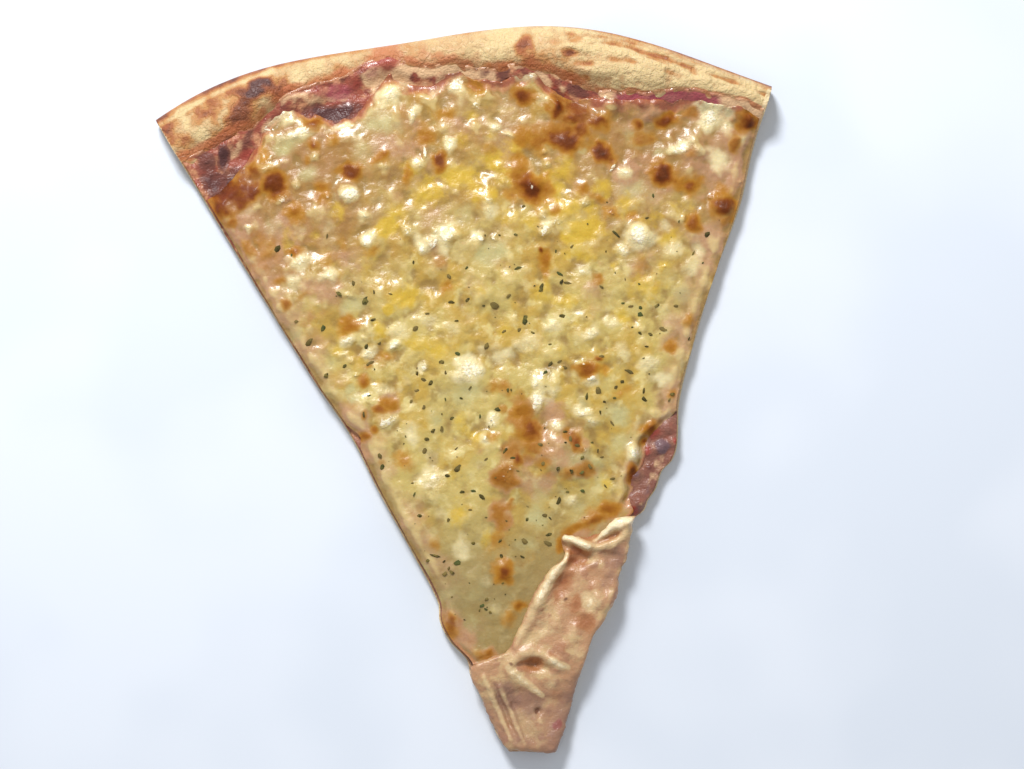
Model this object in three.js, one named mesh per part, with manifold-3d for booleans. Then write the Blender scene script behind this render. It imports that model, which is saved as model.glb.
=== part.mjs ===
// A slice of thin-crust cheese pizza, about one eighth of an 18 inch pie. It lies flat with its
// tip folded back over the cheese. Three solids: the crust (flat dough, puffed rim and folded tip),
// the sauce on it, and the cheese on top with its flakes of dried herb.
//
// Units are millimetres and +Z is up. Slice coordinates start at the corner where the two cuts
// would meet, with +Y along the slice's middle line to the rim. The finished group is moved so
// that the origin is under the middle of the slice.

import * as THREE from 'three';
import Module from 'manifold-3d';

// The rim's outer edge is an arc with a slow wave in it, because the pie was stretched by hand.
const RIM_RADIUS = 210.6;
const RIM_CENTRE_X = -13.9;
const RIM_CENTRE_Y = 18.1;
const RIM_WAVE = 1.7;
const RIM_WAVE_PERIOD = 29; // degrees about the rim's centre
const RIM_WAVE_DIP = -2; // degrees, where the rim is flattest

// Each cut leaves the middle line at this angle and wanders off its straight line, outwards where
// the number is positive: [distance along the slice, wander].
const CUT_ANGLE = 23.8;
const LEFT_WANDER = [
  [14, 6.2], [19, 7.2], [26, 6.4], [32, 5.6], [38, 5.1], [43, 3.4], [49, 5.0], [55, 4.6],
  [61, 1.9], [75, 0.9], [95, 0.1], [113, -1.3], [130, -0.2], [168, 0.4], [212, 0.7],
];
const RIGHT_WANDER = [
  [14, -5.8], [20, -5.3], [44, -5.1], [50, -2.8], [56, -1.5], [62, -2.3], [68, -1.8], [75, -2.5],
  [78, -2.9], [80, -0.5], [83, -0.1], [86, 1.2], [91, 1.5], [93.5, 3.5], [97, 3.9], [102, 2.8],
  [110, 0.6], [122, -0.3], [146, -0.2], [167, 1.3], [182, 0.2], [204, 0],
];

// The blunt end at the fold, which slants down to the right.
const TIP_Y = 14.3;
const TIP_SLANT = 1.3;
const TIP_MIDDLE_X = -6.5;
const TIP_SLANT_WIDTH = 7;

// Dough: flat under the sauce, lifted off the table at the tip, puffed at the rim.
const DOUGH = 3.2;
const TIP_LIFT = 2.4;
const TIP_LIFT_END = 30; // distance along the slice where the dough lies flat again
const RIM_EDGE_TOP = 3.5;
const RIM_EDGE_UNDER = 2.2;
const RIM_UNDER_WIDTH = 4.5;
const CREST_SHARE = 0.44; // of the way from the outer edge to the foot of the rim's inner slope
const FOOT_BEHIND_SAUCE = 7.5;
const RIM_HEIGHT = [
  [-94, 7.4], [-63, 9.4], [-46, 7.6], [-26, 7.4], [-6, 9.2], [14, 10.8], [40, 12.4], [66, 12],
  [90, 9.8],
]; // [x, height of the crest]
const PUFF_WRINKLE = 0.55; // folds on the puffed right half of the rim
const DOUGH_BUBBLES = [[42, 98, 2.8, 1.5], [33, 82.5, 3.2, 1.6]]; // [x, y, radius, height]

// How far in from the rim's outer edge the sauce and the cheese begin: [x, distance].
const SAUCE_START = [
  [-92, 14.5], [-74, 16], [-66, 15], [-60, 11.5], [-46, 8.6], [-30, 4.8], [-24, 4.2], [-12, 8.2],
  [-4, 9], [6, 13], [22, 13.6], [34, 17.2], [44, 18], [51, 16.8], [60, 11.7], [70, 9.8], [88, 6.5],
];
const CHEESE_START = [
  [-92, 29], [-78, 29], [-71, 27], [-66, 20.5], [-61, 15], [-54, 14], [-49, 19], [-42, 21.5],
  [-34, 19.5], [-28.5, 13.5], [-23.5, 10.6], [-19, 12], [-14, 13.2], [-4, 12.2], [5, 16.5],
  [11, 17.2], [17, 16.2], [22, 18], [27, 20.8], [38, 19.8], [45, 20.8], [51, 19.4], [60, 14.8],
  [70, 12.2], [76, 11.2], [88, 8.6],
];

// How far in from the cut sides they stay, and where they end under the folded tip:
// [distance along the slice, inset].
const SAUCE_END = 38.5;
const SAUCE_LEFT_INSET = [[38, 4], [42, 1.4], [47, 0.5], [210, 0.5]];
const SAUCE_RIGHT_INSET = [[40, 1.6], [60, 0.6], [210, 0.5]];
const CHEESE_END = 41.5;
const CHEESE_LEFT_INSET = [
  [41, 4.6], [44, 2.4], [48, 1.2], [53, 0.9], [108, 0.9], [112, 2.4], [116, 0.9], [210, 0.9],
];
const CHEESE_RIGHT_INSET = [
  [41, 4], [70, 3.2], [76, 2.4], [80, 3.4], [84, 6], [90, 8], [96, 9], [101, 9], [105, 4.4],
  [108.5, 0.9], [210, 0.9],
];

// Layers above the dough.
const GAP = 0.3;
const GAP_ON_SLOPE = 0.65;
const SAUCE = 0.9;
const SAUCE_LIP = 0.5;
const CHEESE = 1.9;
const CHEESE_LEAST = 0.7;
const CHEESE_LIP = 1.1; // how much the cheese thins at its edge
const CHEESE_LIP_WIDTH = 3.2;
const LUMP_SIZES = [[17, 0.5], [8.5, 0.55], [5, 0.2]]; // [distance between lumps, height]

// Larger blisters and mounds in the cheese: [x, y, radius, height].
const BLISTERS = [
  [14, 98, 10, 1.5], [44, 161, 5.5, 1.2], [14, 180, 4, 0.9], [-40, 184, 5, 0.9], [25, 203, 6, 1.0],
  [61, 186, 7, 0.9], [69, 167, 4.5, 0.8], [-63, 192, 6, 0.8], [-8, 166, 9, 0.7], [-35, 168, 6, 0.6],
  [-41, 142, 5, 0.8], [12, 122, 5, 0.8], [-10, 127, 7, 0.7], [-38, 117, 5, 0.7], [-7, 68, 4, 0.5],
  [52, 179, 5, 0.6], [24, 122, 5, 0.6], [-8, 106, 5, 0.7], [34, 97, 4, 0.8], [0, 208, 7, 0.6],
];

// The folded tip: a soft sheet of dough with its cut edge as a ridge along its left side.
const FLAP = 2.6;
const FLAP_SIDE_INSET = 0.8;
const FLAP_LEFT = [
  [14, -11.6], [19, -14.8], [26, -17.1], [32, -19], [38, -20.8], [41, -18.8], [43, -14],
  [44.8, -10.6], [50, -6.8], [57, -2.4], [63.5, 2], [67, 5.5], [69, 8.6], [72, 9.2], [82, 10],
]; // [distance along the slice, x]
const FLAP_TOP = [[6, 68], [9, 75.5], [14, 75.2], [20, 75.4], [25, 78.4], [31, 79.5]]; // [x, y]
const FLAP_ON_DOUGH = 31; // the sheet lies on the dough up to here
const FLAP_ON_CHEESE = 43; // and on the cheese from here
const PRESSED_CHEESE = 6.2;
const FLAP_ROUNDING = 2.2;
// Ridges on the flap: [half width, height, points along the ridge].
const RIDGES = [
  [2, 0.9, [[9.5, 68], [5.4, 65.5], [3, 62], [-1, 57], [-5.4, 50], [-9.5, 43.5]]],
  [1.9, 1.1, [[11, 74.5], [15, 72], [20, 71], [25, 72]]],
  [2, 1.5, [[21, 74.5], [25, 76.5], [29.5, 77.5]]],
  [1.7, 0.9, [[-8, 41], [-4, 42.6], [0, 42], [3, 38.5], [6.5, 37]]],
  [1.7, 0.8, [[-11, 38.5], [-8, 35.5], [-2, 31]]],
];

// Dried herb flakes: clusters of [x, y, how many], and the rest spread over the middle of the slice.
const HERB_SEED = 20;
const HERB_CLUSTERS = [
  [-24, 72, 4], [-15, 58, 2], [-25, 124, 3], [19, 151, 2], [12, 149, 1], [-40, 153, 3],
  [6, 139, 2], [35, 117, 3],
];
const HERB_SPREAD = 42;
const HERB_ZONE = [62, 166];
const HERB_LENGTH = [1.5, 3.1];
const HERB_APART = 5;
const HERB_THICKNESS = 0.9;

// The part's origin in slice coordinates.
const ORIGIN_X = -3.1;
const ORIGIN_Y = 120.6;

const radians = (degrees) => (degrees * Math.PI) / 180;
const clamp = (value, low, high) => Math.min(high, Math.max(low, value));
const mix = (from, to, share) => from + (to - from) * share;

function smooth(value, from, to) {
  const share = clamp((value - from) / (to - from), 0, 1);
  return share * share * (3 - 2 * share);
}

// A smooth line through [position, value] pairs, level beyond its ends.
function through(pairs, at) {
  const last = pairs.length - 1;
  if (at <= pairs[0][0]) return pairs[0][1];
  if (at >= pairs[last][0]) return pairs[last][1];
  const slope = (i) => {
    const [before, after] = [pairs[Math.max(i - 1, 0)], pairs[Math.min(i + 1, last)]];
    return (after[1] - before[1]) / (after[0] - before[0]);
  };
  const i = pairs.findIndex(([position]) => position > at) - 1;
  const [[x0, y0], [x1, y1]] = [pairs[i], pairs[i + 1]];
  const width = x1 - x0;
  const t = (at - x0) / width;
  const bend = slope(i) * width * t * (1 - t) * (1 - t) - slope(i + 1) * width * t * t * (1 - t);
  return y0 + (y1 - y0) * t * t * (3 - 2 * t) + bend;
}

// Seeded random numbers from 0 to 1.
function randomNumbers(seed) {
  let state = seed;
  return () => {
    state = (state + 0x6d2b79f5) | 0;
    let bits = Math.imul(state ^ (state >>> 15), 1 | state);
    bits = (bits + Math.imul(bits ^ (bits >>> 7), 61 | bits)) ^ bits;
    return ((bits ^ (bits >>> 14)) >>> 0) / 4294967296;
  };
}

// Soft lumps from -1 to 1, a given distance apart.
function lumps(x, y, apart) {
  const corner = (i, j) => randomNumbers(i * 7919 + j * 104729 + Math.round(apart * 10))() * 2 - 1;
  const [i, j] = [Math.floor(x / apart), Math.floor(y / apart)];
  const [u, v] = [smooth(x / apart - i, 0, 1), smooth(y / apart - j, 0, 1)];
  return mix(mix(corner(i, j), corner(i + 1, j), u), mix(corner(i, j + 1), corner(i + 1, j + 1), u), v);
}

// Outlines of the slice.
const sideAt = (y, wander) => Math.tan(radians(CUT_ANGLE)) * y + through(wander, y);
const leftSide = (y) => -sideAt(y, LEFT_WANDER);
const rightSide = (y) => sideAt(y, RIGHT_WANDER);

function rimRadius(angle) {
  return RIM_RADIUS - RIM_WAVE * Math.cos(radians((360 * (angle - RIM_WAVE_DIP)) / RIM_WAVE_PERIOD));
}

function rimEdge(x) {
  const across = x - RIM_CENTRE_X;
  const radius = rimRadius(THREE.MathUtils.radToDeg(Math.asin(across / RIM_RADIUS)));
  return RIM_CENTRE_Y + Math.sqrt(radius * radius - across * across);
}

function depthFromRim(x, y) {
  const [across, along] = [x - RIM_CENTRE_X, y - RIM_CENTRE_Y];
  return rimRadius(THREE.MathUtils.radToDeg(Math.atan2(across, along))) - Math.hypot(across, along);
}

const tipEdge = (x) => TIP_Y - TIP_SLANT * Math.tanh((x - TIP_MIDDLE_X) / TIP_SLANT_WIDTH);

// A line a given distance in from the rim, ragged as a spread layer's edge is.
function insideRim(x, start, ragged) {
  const steepness = Math.cos(Math.asin((x - RIM_CENTRE_X) / RIM_RADIUS));
  return rimEdge(x) - through(start, x) / steepness + ragged * lumps(x, 0, 6);
}

// Heights of each layer's faces.
function tipLift(y) {
  return TIP_LIFT * (1 - smooth(y, TIP_Y, TIP_LIFT_END));
}

function doughUnder(x, y) {
  const inwards = clamp(depthFromRim(x, y) / RIM_UNDER_WIDTH, 0, 1);
  return tipLift(y) + RIM_EDGE_UNDER * (1 - Math.sqrt(inwards * (2 - inwards)));
}

// Round rises on a surface, each [x, y, radius, height].
function rounds(x, y, places) {
  return places.reduce((total, [cx, cy, radius, height]) => {
    const away = Math.hypot(x - cx, y - cy);
    return total + height * (1 - smooth(away, radius * 0.25, radius));
  }, 0);
}

function doughTop(x, y) {
  const depth = Math.max(depthFromRim(x, y), 0);
  const bare = through(SAUCE_START, x);
  const foot = bare + FOOT_BEHIND_SAUCE;
  const crest = foot * CREST_SHARE;
  if (depth >= foot) return DOUGH + tipLift(y) + rounds(x, y, DOUGH_BUBBLES);
  const height = through(RIM_HEIGHT, x);
  if (depth > crest) {
    const fall = smooth(depth, crest, foot);
    const puffed = smooth(x, 15, 35) * (1 - smooth(depth, bare - 4, bare));
    return mix(height, DOUGH, fall) + PUFF_WRINKLE * puffed * lumps(x, y, 5);
  }
  const rise = depth / crest;
  return mix(RIM_EDGE_TOP, height, Math.sqrt(rise * (2 - rise)));
}

// The layers lie closer on the flat dough than on the rim's curved inner slope.
function gapBetween(x, y) {
  const onSlope = smooth(through(SAUCE_START, x) + FOOT_BEHIND_SAUCE + 2 - depthFromRim(x, y), 0, 3);
  return mix(GAP, GAP_ON_SLOPE, onSlope);
}

const sauceUnder = (x, y) => doughTop(x, y) + gapBetween(x, y);
const sauceTop = (x, y) => sauceUnder(x, y) + mix(SAUCE_LIP, SAUCE, smooth(sauceRimEdge(x) - y, 0, 3));
const cheeseUnder = (x, y) => sauceTop(x, y) + gapBetween(x, y);

function cheeseTop(x, y) {
  let thickness = CHEESE;
  for (const [apart, height] of LUMP_SIZES) thickness += height * lumps(x, y, apart);
  thickness += rounds(x, y, BLISTERS);
  const toSide = Math.min(x - cheeseLeft(y), cheeseRight(y) - x);
  const toEdge = Math.min(toSide, cheeseRimEdge(x) - y);
  thickness -= CHEESE_LIP * (1 - smooth(toEdge, 0, CHEESE_LIP_WIDTH));
  const loose = cheeseUnder(x, y) + Math.max(thickness, CHEESE_LEAST);
  return mix(loose, PRESSED_CHEESE, nearFlap(x, y));
}

// 1 under the flap and close to it, 0 away from it.
function nearFlap(x, y) {
  const beside = smooth(x, through(FLAP_LEFT, y) - 5, through(FLAP_LEFT, y) - 1.8);
  return beside * (1 - smooth(y, through(FLAP_TOP, x) + 1.8, through(FLAP_TOP, x) + 5));
}

function distanceToLine(x, y, points) {
  const here = new THREE.Vector3(x, y, 0);
  const nearest = new THREE.Vector3();
  const distances = points.slice(1).map(([bx, by], i) => {
    const [ax, ay] = points[i];
    const span = new THREE.Line3(new THREE.Vector3(ax, ay, 0), new THREE.Vector3(bx, by, 0));
    return span.closestPointToPoint(here, true, nearest).distanceTo(here);
  });
  return Math.min(...distances);
}

function flapUnder(x, y) {
  const sunk = DOUGH + tipLift(y) - 0.8;
  return mix(sunk, PRESSED_CHEESE + GAP + 0.1, smooth(y, FLAP_ON_DOUGH, FLAP_ON_CHEESE - 3));
}

function flapTop(x, y) {
  const onDough = DOUGH + tipLift(y);
  const support = mix(onDough, PRESSED_CHEESE + GAP, smooth(y, FLAP_ON_DOUGH - 12, FLAP_ON_CHEESE));
  let z = support + FLAP + 0.35 * lumps(x, y, 7);
  for (const [width, height, points] of RIDGES) {
    z += height * (1 - smooth(distanceToLine(x, y, points), 0, width));
  }
  const toSide = Math.min(x - flapLeft(y), flapRight(y) - x, flapRimEdge(x) - y, y - tipEdge(x));
  const rounding = clamp(toSide / FLAP_ROUNDING, 0, 1);
  return z - 1.2 * (1 - Math.sqrt(rounding * (2 - rounding)));
}

// Outlines of the layers.
const sauceLeft = (y) => leftSide(y) + through(SAUCE_LEFT_INSET, y);
const sauceRight = (y) => rightSide(y) - through(SAUCE_RIGHT_INSET, y);
const sauceRimEdge = (x) => insideRim(x, SAUCE_START, 0.9);
const cheeseLeft = (y) => leftSide(y) + through(CHEESE_LEFT_INSET, y) + 0.4 * lumps(3, y, 7);
const cheeseRight = (y) => rightSide(y) - through(CHEESE_RIGHT_INSET, y) - 0.4 * lumps(9, y, 7);
const cheeseRimEdge = (x) => insideRim(x, CHEESE_START, 1.3);
const flapLeft = (y) => through(FLAP_LEFT, y);
const flapRight = (y) => rightSide(y) - FLAP_SIDE_INSET;
const flapRimEdge = (x) => through(FLAP_TOP, x);
const flapTipEdge = (x) => tipEdge(x) + FLAP_SIDE_INSET * 0.7;

// One line of points across a layer, a share of the way from its tip end to its rim end. The ends
// are found by stepping between the side, which depends on y, and the line, which depends on x.
function rowOfPoints(layer, share, spacing) {
  const lineY = (x) => mix(layer.tipEnd(x), layer.rimEnd(x), share);
  const meet = (side) => {
    let x = side(layer.tipEnd(0));
    for (let step = 0; step < 24; step += 1) x = side(lineY(x));
    return x;
  };
  const [from, to] = [meet(layer.left), meet(layer.right)];
  const count = Math.max(2, Math.round((to - from) / spacing));
  return Array.from({ length: count + 1 }, (_, i) => {
    const x = mix(from, to, i / count);
    return [x, lineY(x)];
  });
}

// Triangles between two lines of points, given as the numbers of their corners.
function stitch(lower, upper, faces) {
  let [i, j] = [0, 0];
  while (i < lower.length - 1 || j < upper.length - 1) {
    const alongLower = (i + 1) / (lower.length - 1);
    const alongUpper = (j + 1) / (upper.length - 1);
    if (j === upper.length - 1 || (i < lower.length - 1 && alongLower <= alongUpper)) {
      faces.push([lower[i], lower[i + 1], upper[j]]);
      i += 1;
    } else {
      faces.push([lower[i], upper[j + 1], upper[j]]);
      j += 1;
    }
  }
}

// A closed solid between a layer's upper and under faces, which share one outline.
function layerSolid(layer) {
  const corners = [];
  const faces = [];
  const addRow = (row, height) => row.map(([x, y]) => corners.push([x, y, height(x, y)]) - 1);
  const last = layer.shares.length - 1;
  const face = (spacing, height) => layer.shares.map((share, i) => {
    const step = i === 0 || i === last ? layer.spacing(share) : spacing(share);
    return addRow(rowOfPoints(layer, share, step), height);
  });
  const top = face(layer.spacing, layer.top);
  const under = face(layer.underSpacing, layer.under);
  for (let i = 0; i < last; i += 1) {
    stitch(top[i], top[i + 1], faces);
    const underFaces = [];
    stitch(under[i], under[i + 1], underFaces);
    faces.push(...underFaces.map(([a, b, c]) => [a, c, b]));
  }
  const outline = (rows) => [
    ...rows[0],
    ...rows.slice(1, last).map((row) => row[row.length - 1]),
    ...rows[last].slice().reverse(),
    ...rows.slice(1, last).reverse().map((row) => row[0]),
  ];
  const [rimTop, rimUnder] = [outline(top), outline(under)];
  rimTop.forEach((corner, i) => {
    const next = (i + 1) % rimTop.length;
    faces.push([corner, rimUnder[i], rimUnder[next]], [corner, rimUnder[next], rimTop[next]]);
  });
  return { corners, faces };
}

// Shares of the way along a layer, close together near the rim.
function sharesAlong(length, rimZone, rimStep, step) {
  const depths = [];
  for (let depth = 0; depth < rimZone; depth += rimStep) depths.push(depth);
  const rest = Math.round((length - rimZone) / step);
  for (let i = 0; i <= rest; i += 1) depths.push(mix(rimZone, length, i / rest));
  return depths.map((depth) => 1 - depth / length).reverse();
}

const crustLayer = {
  left: leftSide,
  right: rightSide,
  tipEnd: tipEdge,
  rimEnd: rimEdge,
  top: doughTop,
  under: doughUnder,
  shares: sharesAlong(214, 28.8, 1.8, 2.6),
  spacing: (share) => (share > 0.86 ? 4.6 : 30),
  underSpacing: (share) => (share > 0.97 ? 12 : 45),
};

const sauceLayer = {
  left: sauceLeft,
  right: sauceRight,
  tipEnd: () => SAUCE_END,
  rimEnd: sauceRimEdge,
  top: sauceTop,
  under: sauceUnder,
  shares: sharesAlong(176, 20, 2, 3.2),
  spacing: (share) => (share > 0.88 ? 5.2 : 30),
  underSpacing: (share) => (share > 0.88 ? 6.5 : 45),
};

const cheeseLayer = {
  left: cheeseLeft,
  right: cheeseRight,
  tipEnd: () => CHEESE_END,
  rimEnd: cheeseRimEdge,
  top: cheeseTop,
  under: cheeseUnder,
  shares: sharesAlong(166, 12, 2.4, 3.3),
  spacing: () => 3.3,
  underSpacing: (share) => (share > 0.9 ? 6.5 : 40),
};

const flapLayer = {
  left: flapLeft,
  right: flapRight,
  tipEnd: flapTipEdge,
  rimEnd: flapRimEdge,
  top: flapTop,
  under: flapUnder,
  shares: sharesAlong(61, 12, 1.5, 2.1),
  spacing: () => 2.1,
  underSpacing: () => 6,
};

// Where each herb flake lies, with its length and turn, in the order that it was drawn.
function herbPlaces() {
  const random = randomNumbers(HERB_SEED);
  const places = [];
  const lands = (x, y) => {
    const inside = x > cheeseLeft(y) + 3 && x < cheeseRight(y) - 3 && nearFlap(x, y) === 0;
    return inside && places.every((other) => Math.hypot(other.x - x, other.y - y) > HERB_APART * other.room);
  };
  const add = (x, y, room) => {
    places.push({ x, y, room, length: mix(...HERB_LENGTH, random() ** 2), turn: random() * Math.PI });
  };
  for (const [cx, cy, count] of HERB_CLUSTERS) {
    for (let i = 0; i < count; i += 1) {
      const turn = (i / count) * 2 * Math.PI + random();
      const out = count > 1 ? mix(2, 3.2, random()) : 0;
      add(cx + out * Math.cos(turn), cy + out * Math.sin(turn), 0.8);
    }
  }
  let spread = 0;
  while (spread < HERB_SPREAD) {
    const y = mix(...HERB_ZONE, random());
    const x = mix(leftSide(y), rightSide(y), random());
    if (lands(x, y)) {
      add(x, y, 1);
      spread += 1;
    }
  }
  return places;
}

// A thin torn leaf scrap: an uneven six-sided plate, pressed a little way into the cheese.
function herbFlake({ x, y, length, turn }) {
  const outline = [[0.5, 0.05], [0.22, 0.3], [-0.25, 0.24], [-0.5, -0.04], [-0.2, -0.28], [0.3, -0.22]];
  const plate = new THREE.Shape(outline.map(([u, v]) => new THREE.Vector2(u * length, v * length)));
  const geometry = new THREE.ExtrudeGeometry(plate, { depth: HERB_THICKNESS, bevelEnabled: false });
  geometry.rotateX(0.25 * Math.sin(turn * 5));
  geometry.rotateZ(turn);
  geometry.translate(x, y, cheeseTop(x, y) - HERB_THICKNESS * 0.45);
  const position = geometry.getAttribute('position');
  const numbers = new Map();
  const corners = [];
  const faces = [];
  for (let i = 0; i < position.count; i += 3) {
    faces.push([i, i + 1, i + 2].map((k) => {
      const corner = [position.getX(k), position.getY(k), position.getZ(k)];
      const name = corner.map((value) => value.toFixed(4)).join();
      if (!numbers.has(name)) numbers.set(name, corners.push(corner) - 1);
      return numbers.get(name);
    }));
  }
  return { corners, faces };
}

const wasm = await Module();
wasm.setup();

function asManifold({ corners, faces }) {
  return new wasm.Manifold(new wasm.Mesh({
    numProp: 3,
    vertProperties: new Float32Array(corners.flat()),
    triVerts: new Uint32Array(faces.flat()),
  }));
}

function asMesh(name, manifold, look) {
  const { vertProperties, triVerts } = manifold.getMesh();
  const geometry = new THREE.BufferGeometry();
  geometry.setAttribute('position', new THREE.BufferAttribute(vertProperties, 3));
  geometry.setIndex(new THREE.BufferAttribute(triVerts, 1));
  const material = new THREE.MeshStandardMaterial({ ...look, metalness: 0, flatShading: true });
  const mesh = new THREE.Mesh(geometry, material);
  mesh.name = name;
  return mesh;
}

const crust = asManifold(layerSolid(crustLayer)).add(asManifold(layerSolid(flapLayer)));
const sauce = asManifold(layerSolid(sauceLayer));
let cheese = asManifold(layerSolid(cheeseLayer));
for (const place of herbPlaces()) cheese = cheese.add(asManifold(herbFlake(place)));

const slice = new THREE.Group();
slice.add(
  asMesh('crust', crust, { color: 0xd6a56a, roughness: 0.85 }),
  asMesh('sauce', sauce, { color: 0xa3503f, roughness: 0.45 }),
  asMesh('cheese', cheese, { color: 0xe3c981, roughness: 0.4 }),
);
slice.position.set(-ORIGIN_X, -ORIGIN_Y, 0);
slice.updateMatrixWorld(true);

export default slice;
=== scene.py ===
"""A slice of thin-crust cheese pizza, lying flat with its tip folded back over the cheese.

Every piece is shaped in slice coordinates: millimetres from the corner where the two cuts would
meet, with +Y along the slice's middle line to the rim. It is then set in the frame, in metres.
"""

import math

import bpy
import numpy as np
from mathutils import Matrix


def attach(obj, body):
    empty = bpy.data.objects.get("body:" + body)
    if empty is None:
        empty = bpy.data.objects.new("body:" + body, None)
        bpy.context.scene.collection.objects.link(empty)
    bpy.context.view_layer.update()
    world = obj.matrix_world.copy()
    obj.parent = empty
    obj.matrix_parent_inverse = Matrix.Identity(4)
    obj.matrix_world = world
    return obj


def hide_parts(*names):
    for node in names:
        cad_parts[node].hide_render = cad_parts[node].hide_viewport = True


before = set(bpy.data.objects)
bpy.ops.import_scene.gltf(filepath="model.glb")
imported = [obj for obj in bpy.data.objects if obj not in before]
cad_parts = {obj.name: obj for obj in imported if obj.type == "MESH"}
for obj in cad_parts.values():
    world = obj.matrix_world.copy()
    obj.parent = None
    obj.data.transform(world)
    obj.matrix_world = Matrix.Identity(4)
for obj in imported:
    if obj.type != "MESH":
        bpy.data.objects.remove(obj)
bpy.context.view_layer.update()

bl_info = {
    "name": "Cheese pizza slice",
    "version": (1, 0, 0),
    "blender": (4, 5, 0),
    "location": "3D View > Sidebar > Pizza",
    "description": "Models a baked slice: crust, sauce, melted cheese, herb flakes and folded tip",
    "category": "Add Mesh",
}

MM = 0.001
ORIGIN_X = -3.1  # the frame's origin in slice coordinates
ORIGIN_Y = 120.6

# ---- Outline of the slice, as in the frame ---------------------------------------------------

RIM_RADIUS = 210.6
RIM_CENTRE_X = -13.9
RIM_CENTRE_Y = 18.1
RIM_WAVE = 1.7
RIM_WAVE_PERIOD = 29  # degrees about the rim's centre
RIM_WAVE_DIP = -2  # degrees, where the rim is flattest
CUT_SLOPE = math.tan(math.radians(23.8))  # each cut against the slice's middle line
LEFT_WANDER = [
    (14, 6.2), (19, 7.2), (26, 6.4), (32, 5.6), (38, 5.1), (43, 3.4), (49, 5.0), (55, 4.6),
    (61, 1.9), (75, 0.9), (95, 0.1), (113, -1.3), (130, -0.2), (168, 0.4), (212, 0.7),
]
RIGHT_WANDER = [
    (14, -5.8), (20, -5.3), (44, -5.1), (50, -2.8), (56, -1.5), (62, -2.3), (68, -1.8),
    (75, -2.5), (78, -2.9), (80, -0.5), (83, -0.1), (86, 1.2), (91, 1.5), (93.5, 3.5),
    (97, 3.9), (102, 2.8), (110, 0.6), (122, -0.3), (146, -0.2), (167, 1.3), (182, 0.2),
    (204, 0),
]
TIP_Y = 14.3
TIP_SLANT = 1.3
TIP_MIDDLE_X = -6.5
TIP_SLANT_WIDTH = 7

# ---- Heights and layer edges, near the frame's -------------------------------------------------
# The lumps in the sauce and the flap's bulge, dents, folds and creases are not in the frame.

DOUGH = 3.2
TIP_LIFT = 2.4
TIP_LIFT_END = 30
RIM_EDGE_TOP = 3.5
RIM_EDGE_UNDER = 2.2
RIM_UNDER_WIDTH = 4.5
CREST_SHARE = 0.44
FOOT_BEHIND_SAUCE = 7.5
DOUGH_BUBBLES = [(42, 98, 2.8, 1.5), (33, 82.5, 3.2, 1.6)]  # (x, y, radius, height)
RIM_HEIGHT = [
    (-94, 7.4), (-63, 9.4), (-46, 7.6), (-26, 7.4), (-6, 9.2), (14, 10.8), (40, 12.4), (66, 12),
    (90, 9.8),
]
SAUCE_START = [
    (-92, 14.5), (-74, 16), (-66, 15), (-60, 11.5), (-46, 8.6), (-30, 4.8), (-24, 4.2),
    (-12, 8.2), (-4, 9), (6, 13), (22, 13.6), (34, 17.2), (44, 18), (51, 16.8), (60, 11.7),
    (70, 9.8), (88, 6.5),
]
CHEESE_START = [
    (-92, 29), (-78, 29), (-71, 27), (-66, 20.5), (-61, 15), (-54, 14), (-49, 17.6), (-42, 18.6),
    (-34, 17.6), (-28.5, 13.5), (-23.5, 10.6), (-19, 12), (-14, 13.2), (-4, 12.2), (5, 16.5),
    (11, 17.2), (17, 16.2), (22, 18), (27, 20.8), (38, 19.8), (45, 20.8), (51, 19.4),
    (60, 14.8), (70, 12.2), (76, 11.2), (88, 8.6),
]
SAUCE_END = 38.5
SAUCE_LEFT_INSET = [(38, 2), (42, 0.9), (47, 0.5), (210, 0.5)]
SAUCE_RIGHT_INSET = [(40, 1.6), (60, 0.6), (210, 0.5)]
CHEESE_END = 41.5
CHEESE_LEFT_INSET = [
    (41, 1.4), (44, 1), (48, 0.9), (53, 0.9), (108, 0.9), (112, 2.4), (116, 0.9), (210, 0.9),
]
CHEESE_RIGHT_INSET = [
    (41, 4), (70, 3.2), (76, 2.4), (80, 3.4), (84, 6), (90, 8), (96, 9), (101, 9), (105, 4.4),
    (108.5, 0.9), (210, 0.9),
]
SAUCE = 0.9
CHEESE = 1.9
CHEESE_LEAST = 0.7
CHEESE_LIP = 1.1
CHEESE_LIP_WIDTH = 3.2
SAUCE_LUMPS = [
    (40.4, 103.5, 3.4, 1.0), (44.6, 103.4, 2.8, 0.8), (38.3, 97, 2.6, 0.9), (45.8, 98.8, 2.4, 0.8),
    (33.7, 91.2, 3.2, 0.9), (37.8, 92.4, 2.2, 0.6), (36.6, 87, 2.6, 0.5), (31.4, 80.6, 2.8, 0.8),
    (34.8, 83.4, 2.8, 0.8), (41.6, 107.4, 2.6, 0.5),
]
GAP = 0.3  # the frame's gap between layers, which the finished layers close
BLISTERS = [
    (14, 98, 10, 1.5), (44, 161, 5.5, 1.2), (14, 180, 4, 0.9), (-40, 184, 5, 0.9),
    (25, 203, 6, 1.0), (61, 186, 7, 0.9), (69, 167, 4.5, 0.8), (-63, 192, 6, 0.8),
    (-8, 166, 9, 0.7), (-35, 168, 6, 0.6), (-41, 142, 5, 0.8), (12, 122, 5, 0.8),
    (-10, 127, 7, 0.7), (-38, 117, 5, 0.7), (-7, 68, 4, 0.5), (52, 179, 5, 0.6),
    (24, 122, 5, 0.6), (-8, 106, 5, 0.7), (34, 97, 4, 0.8), (0, 208, 7, 0.6),
]
FLAP = 2.6
FLAP_SIDE_INSET = 0.8
FLAP_BULGE = 0.3
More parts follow.
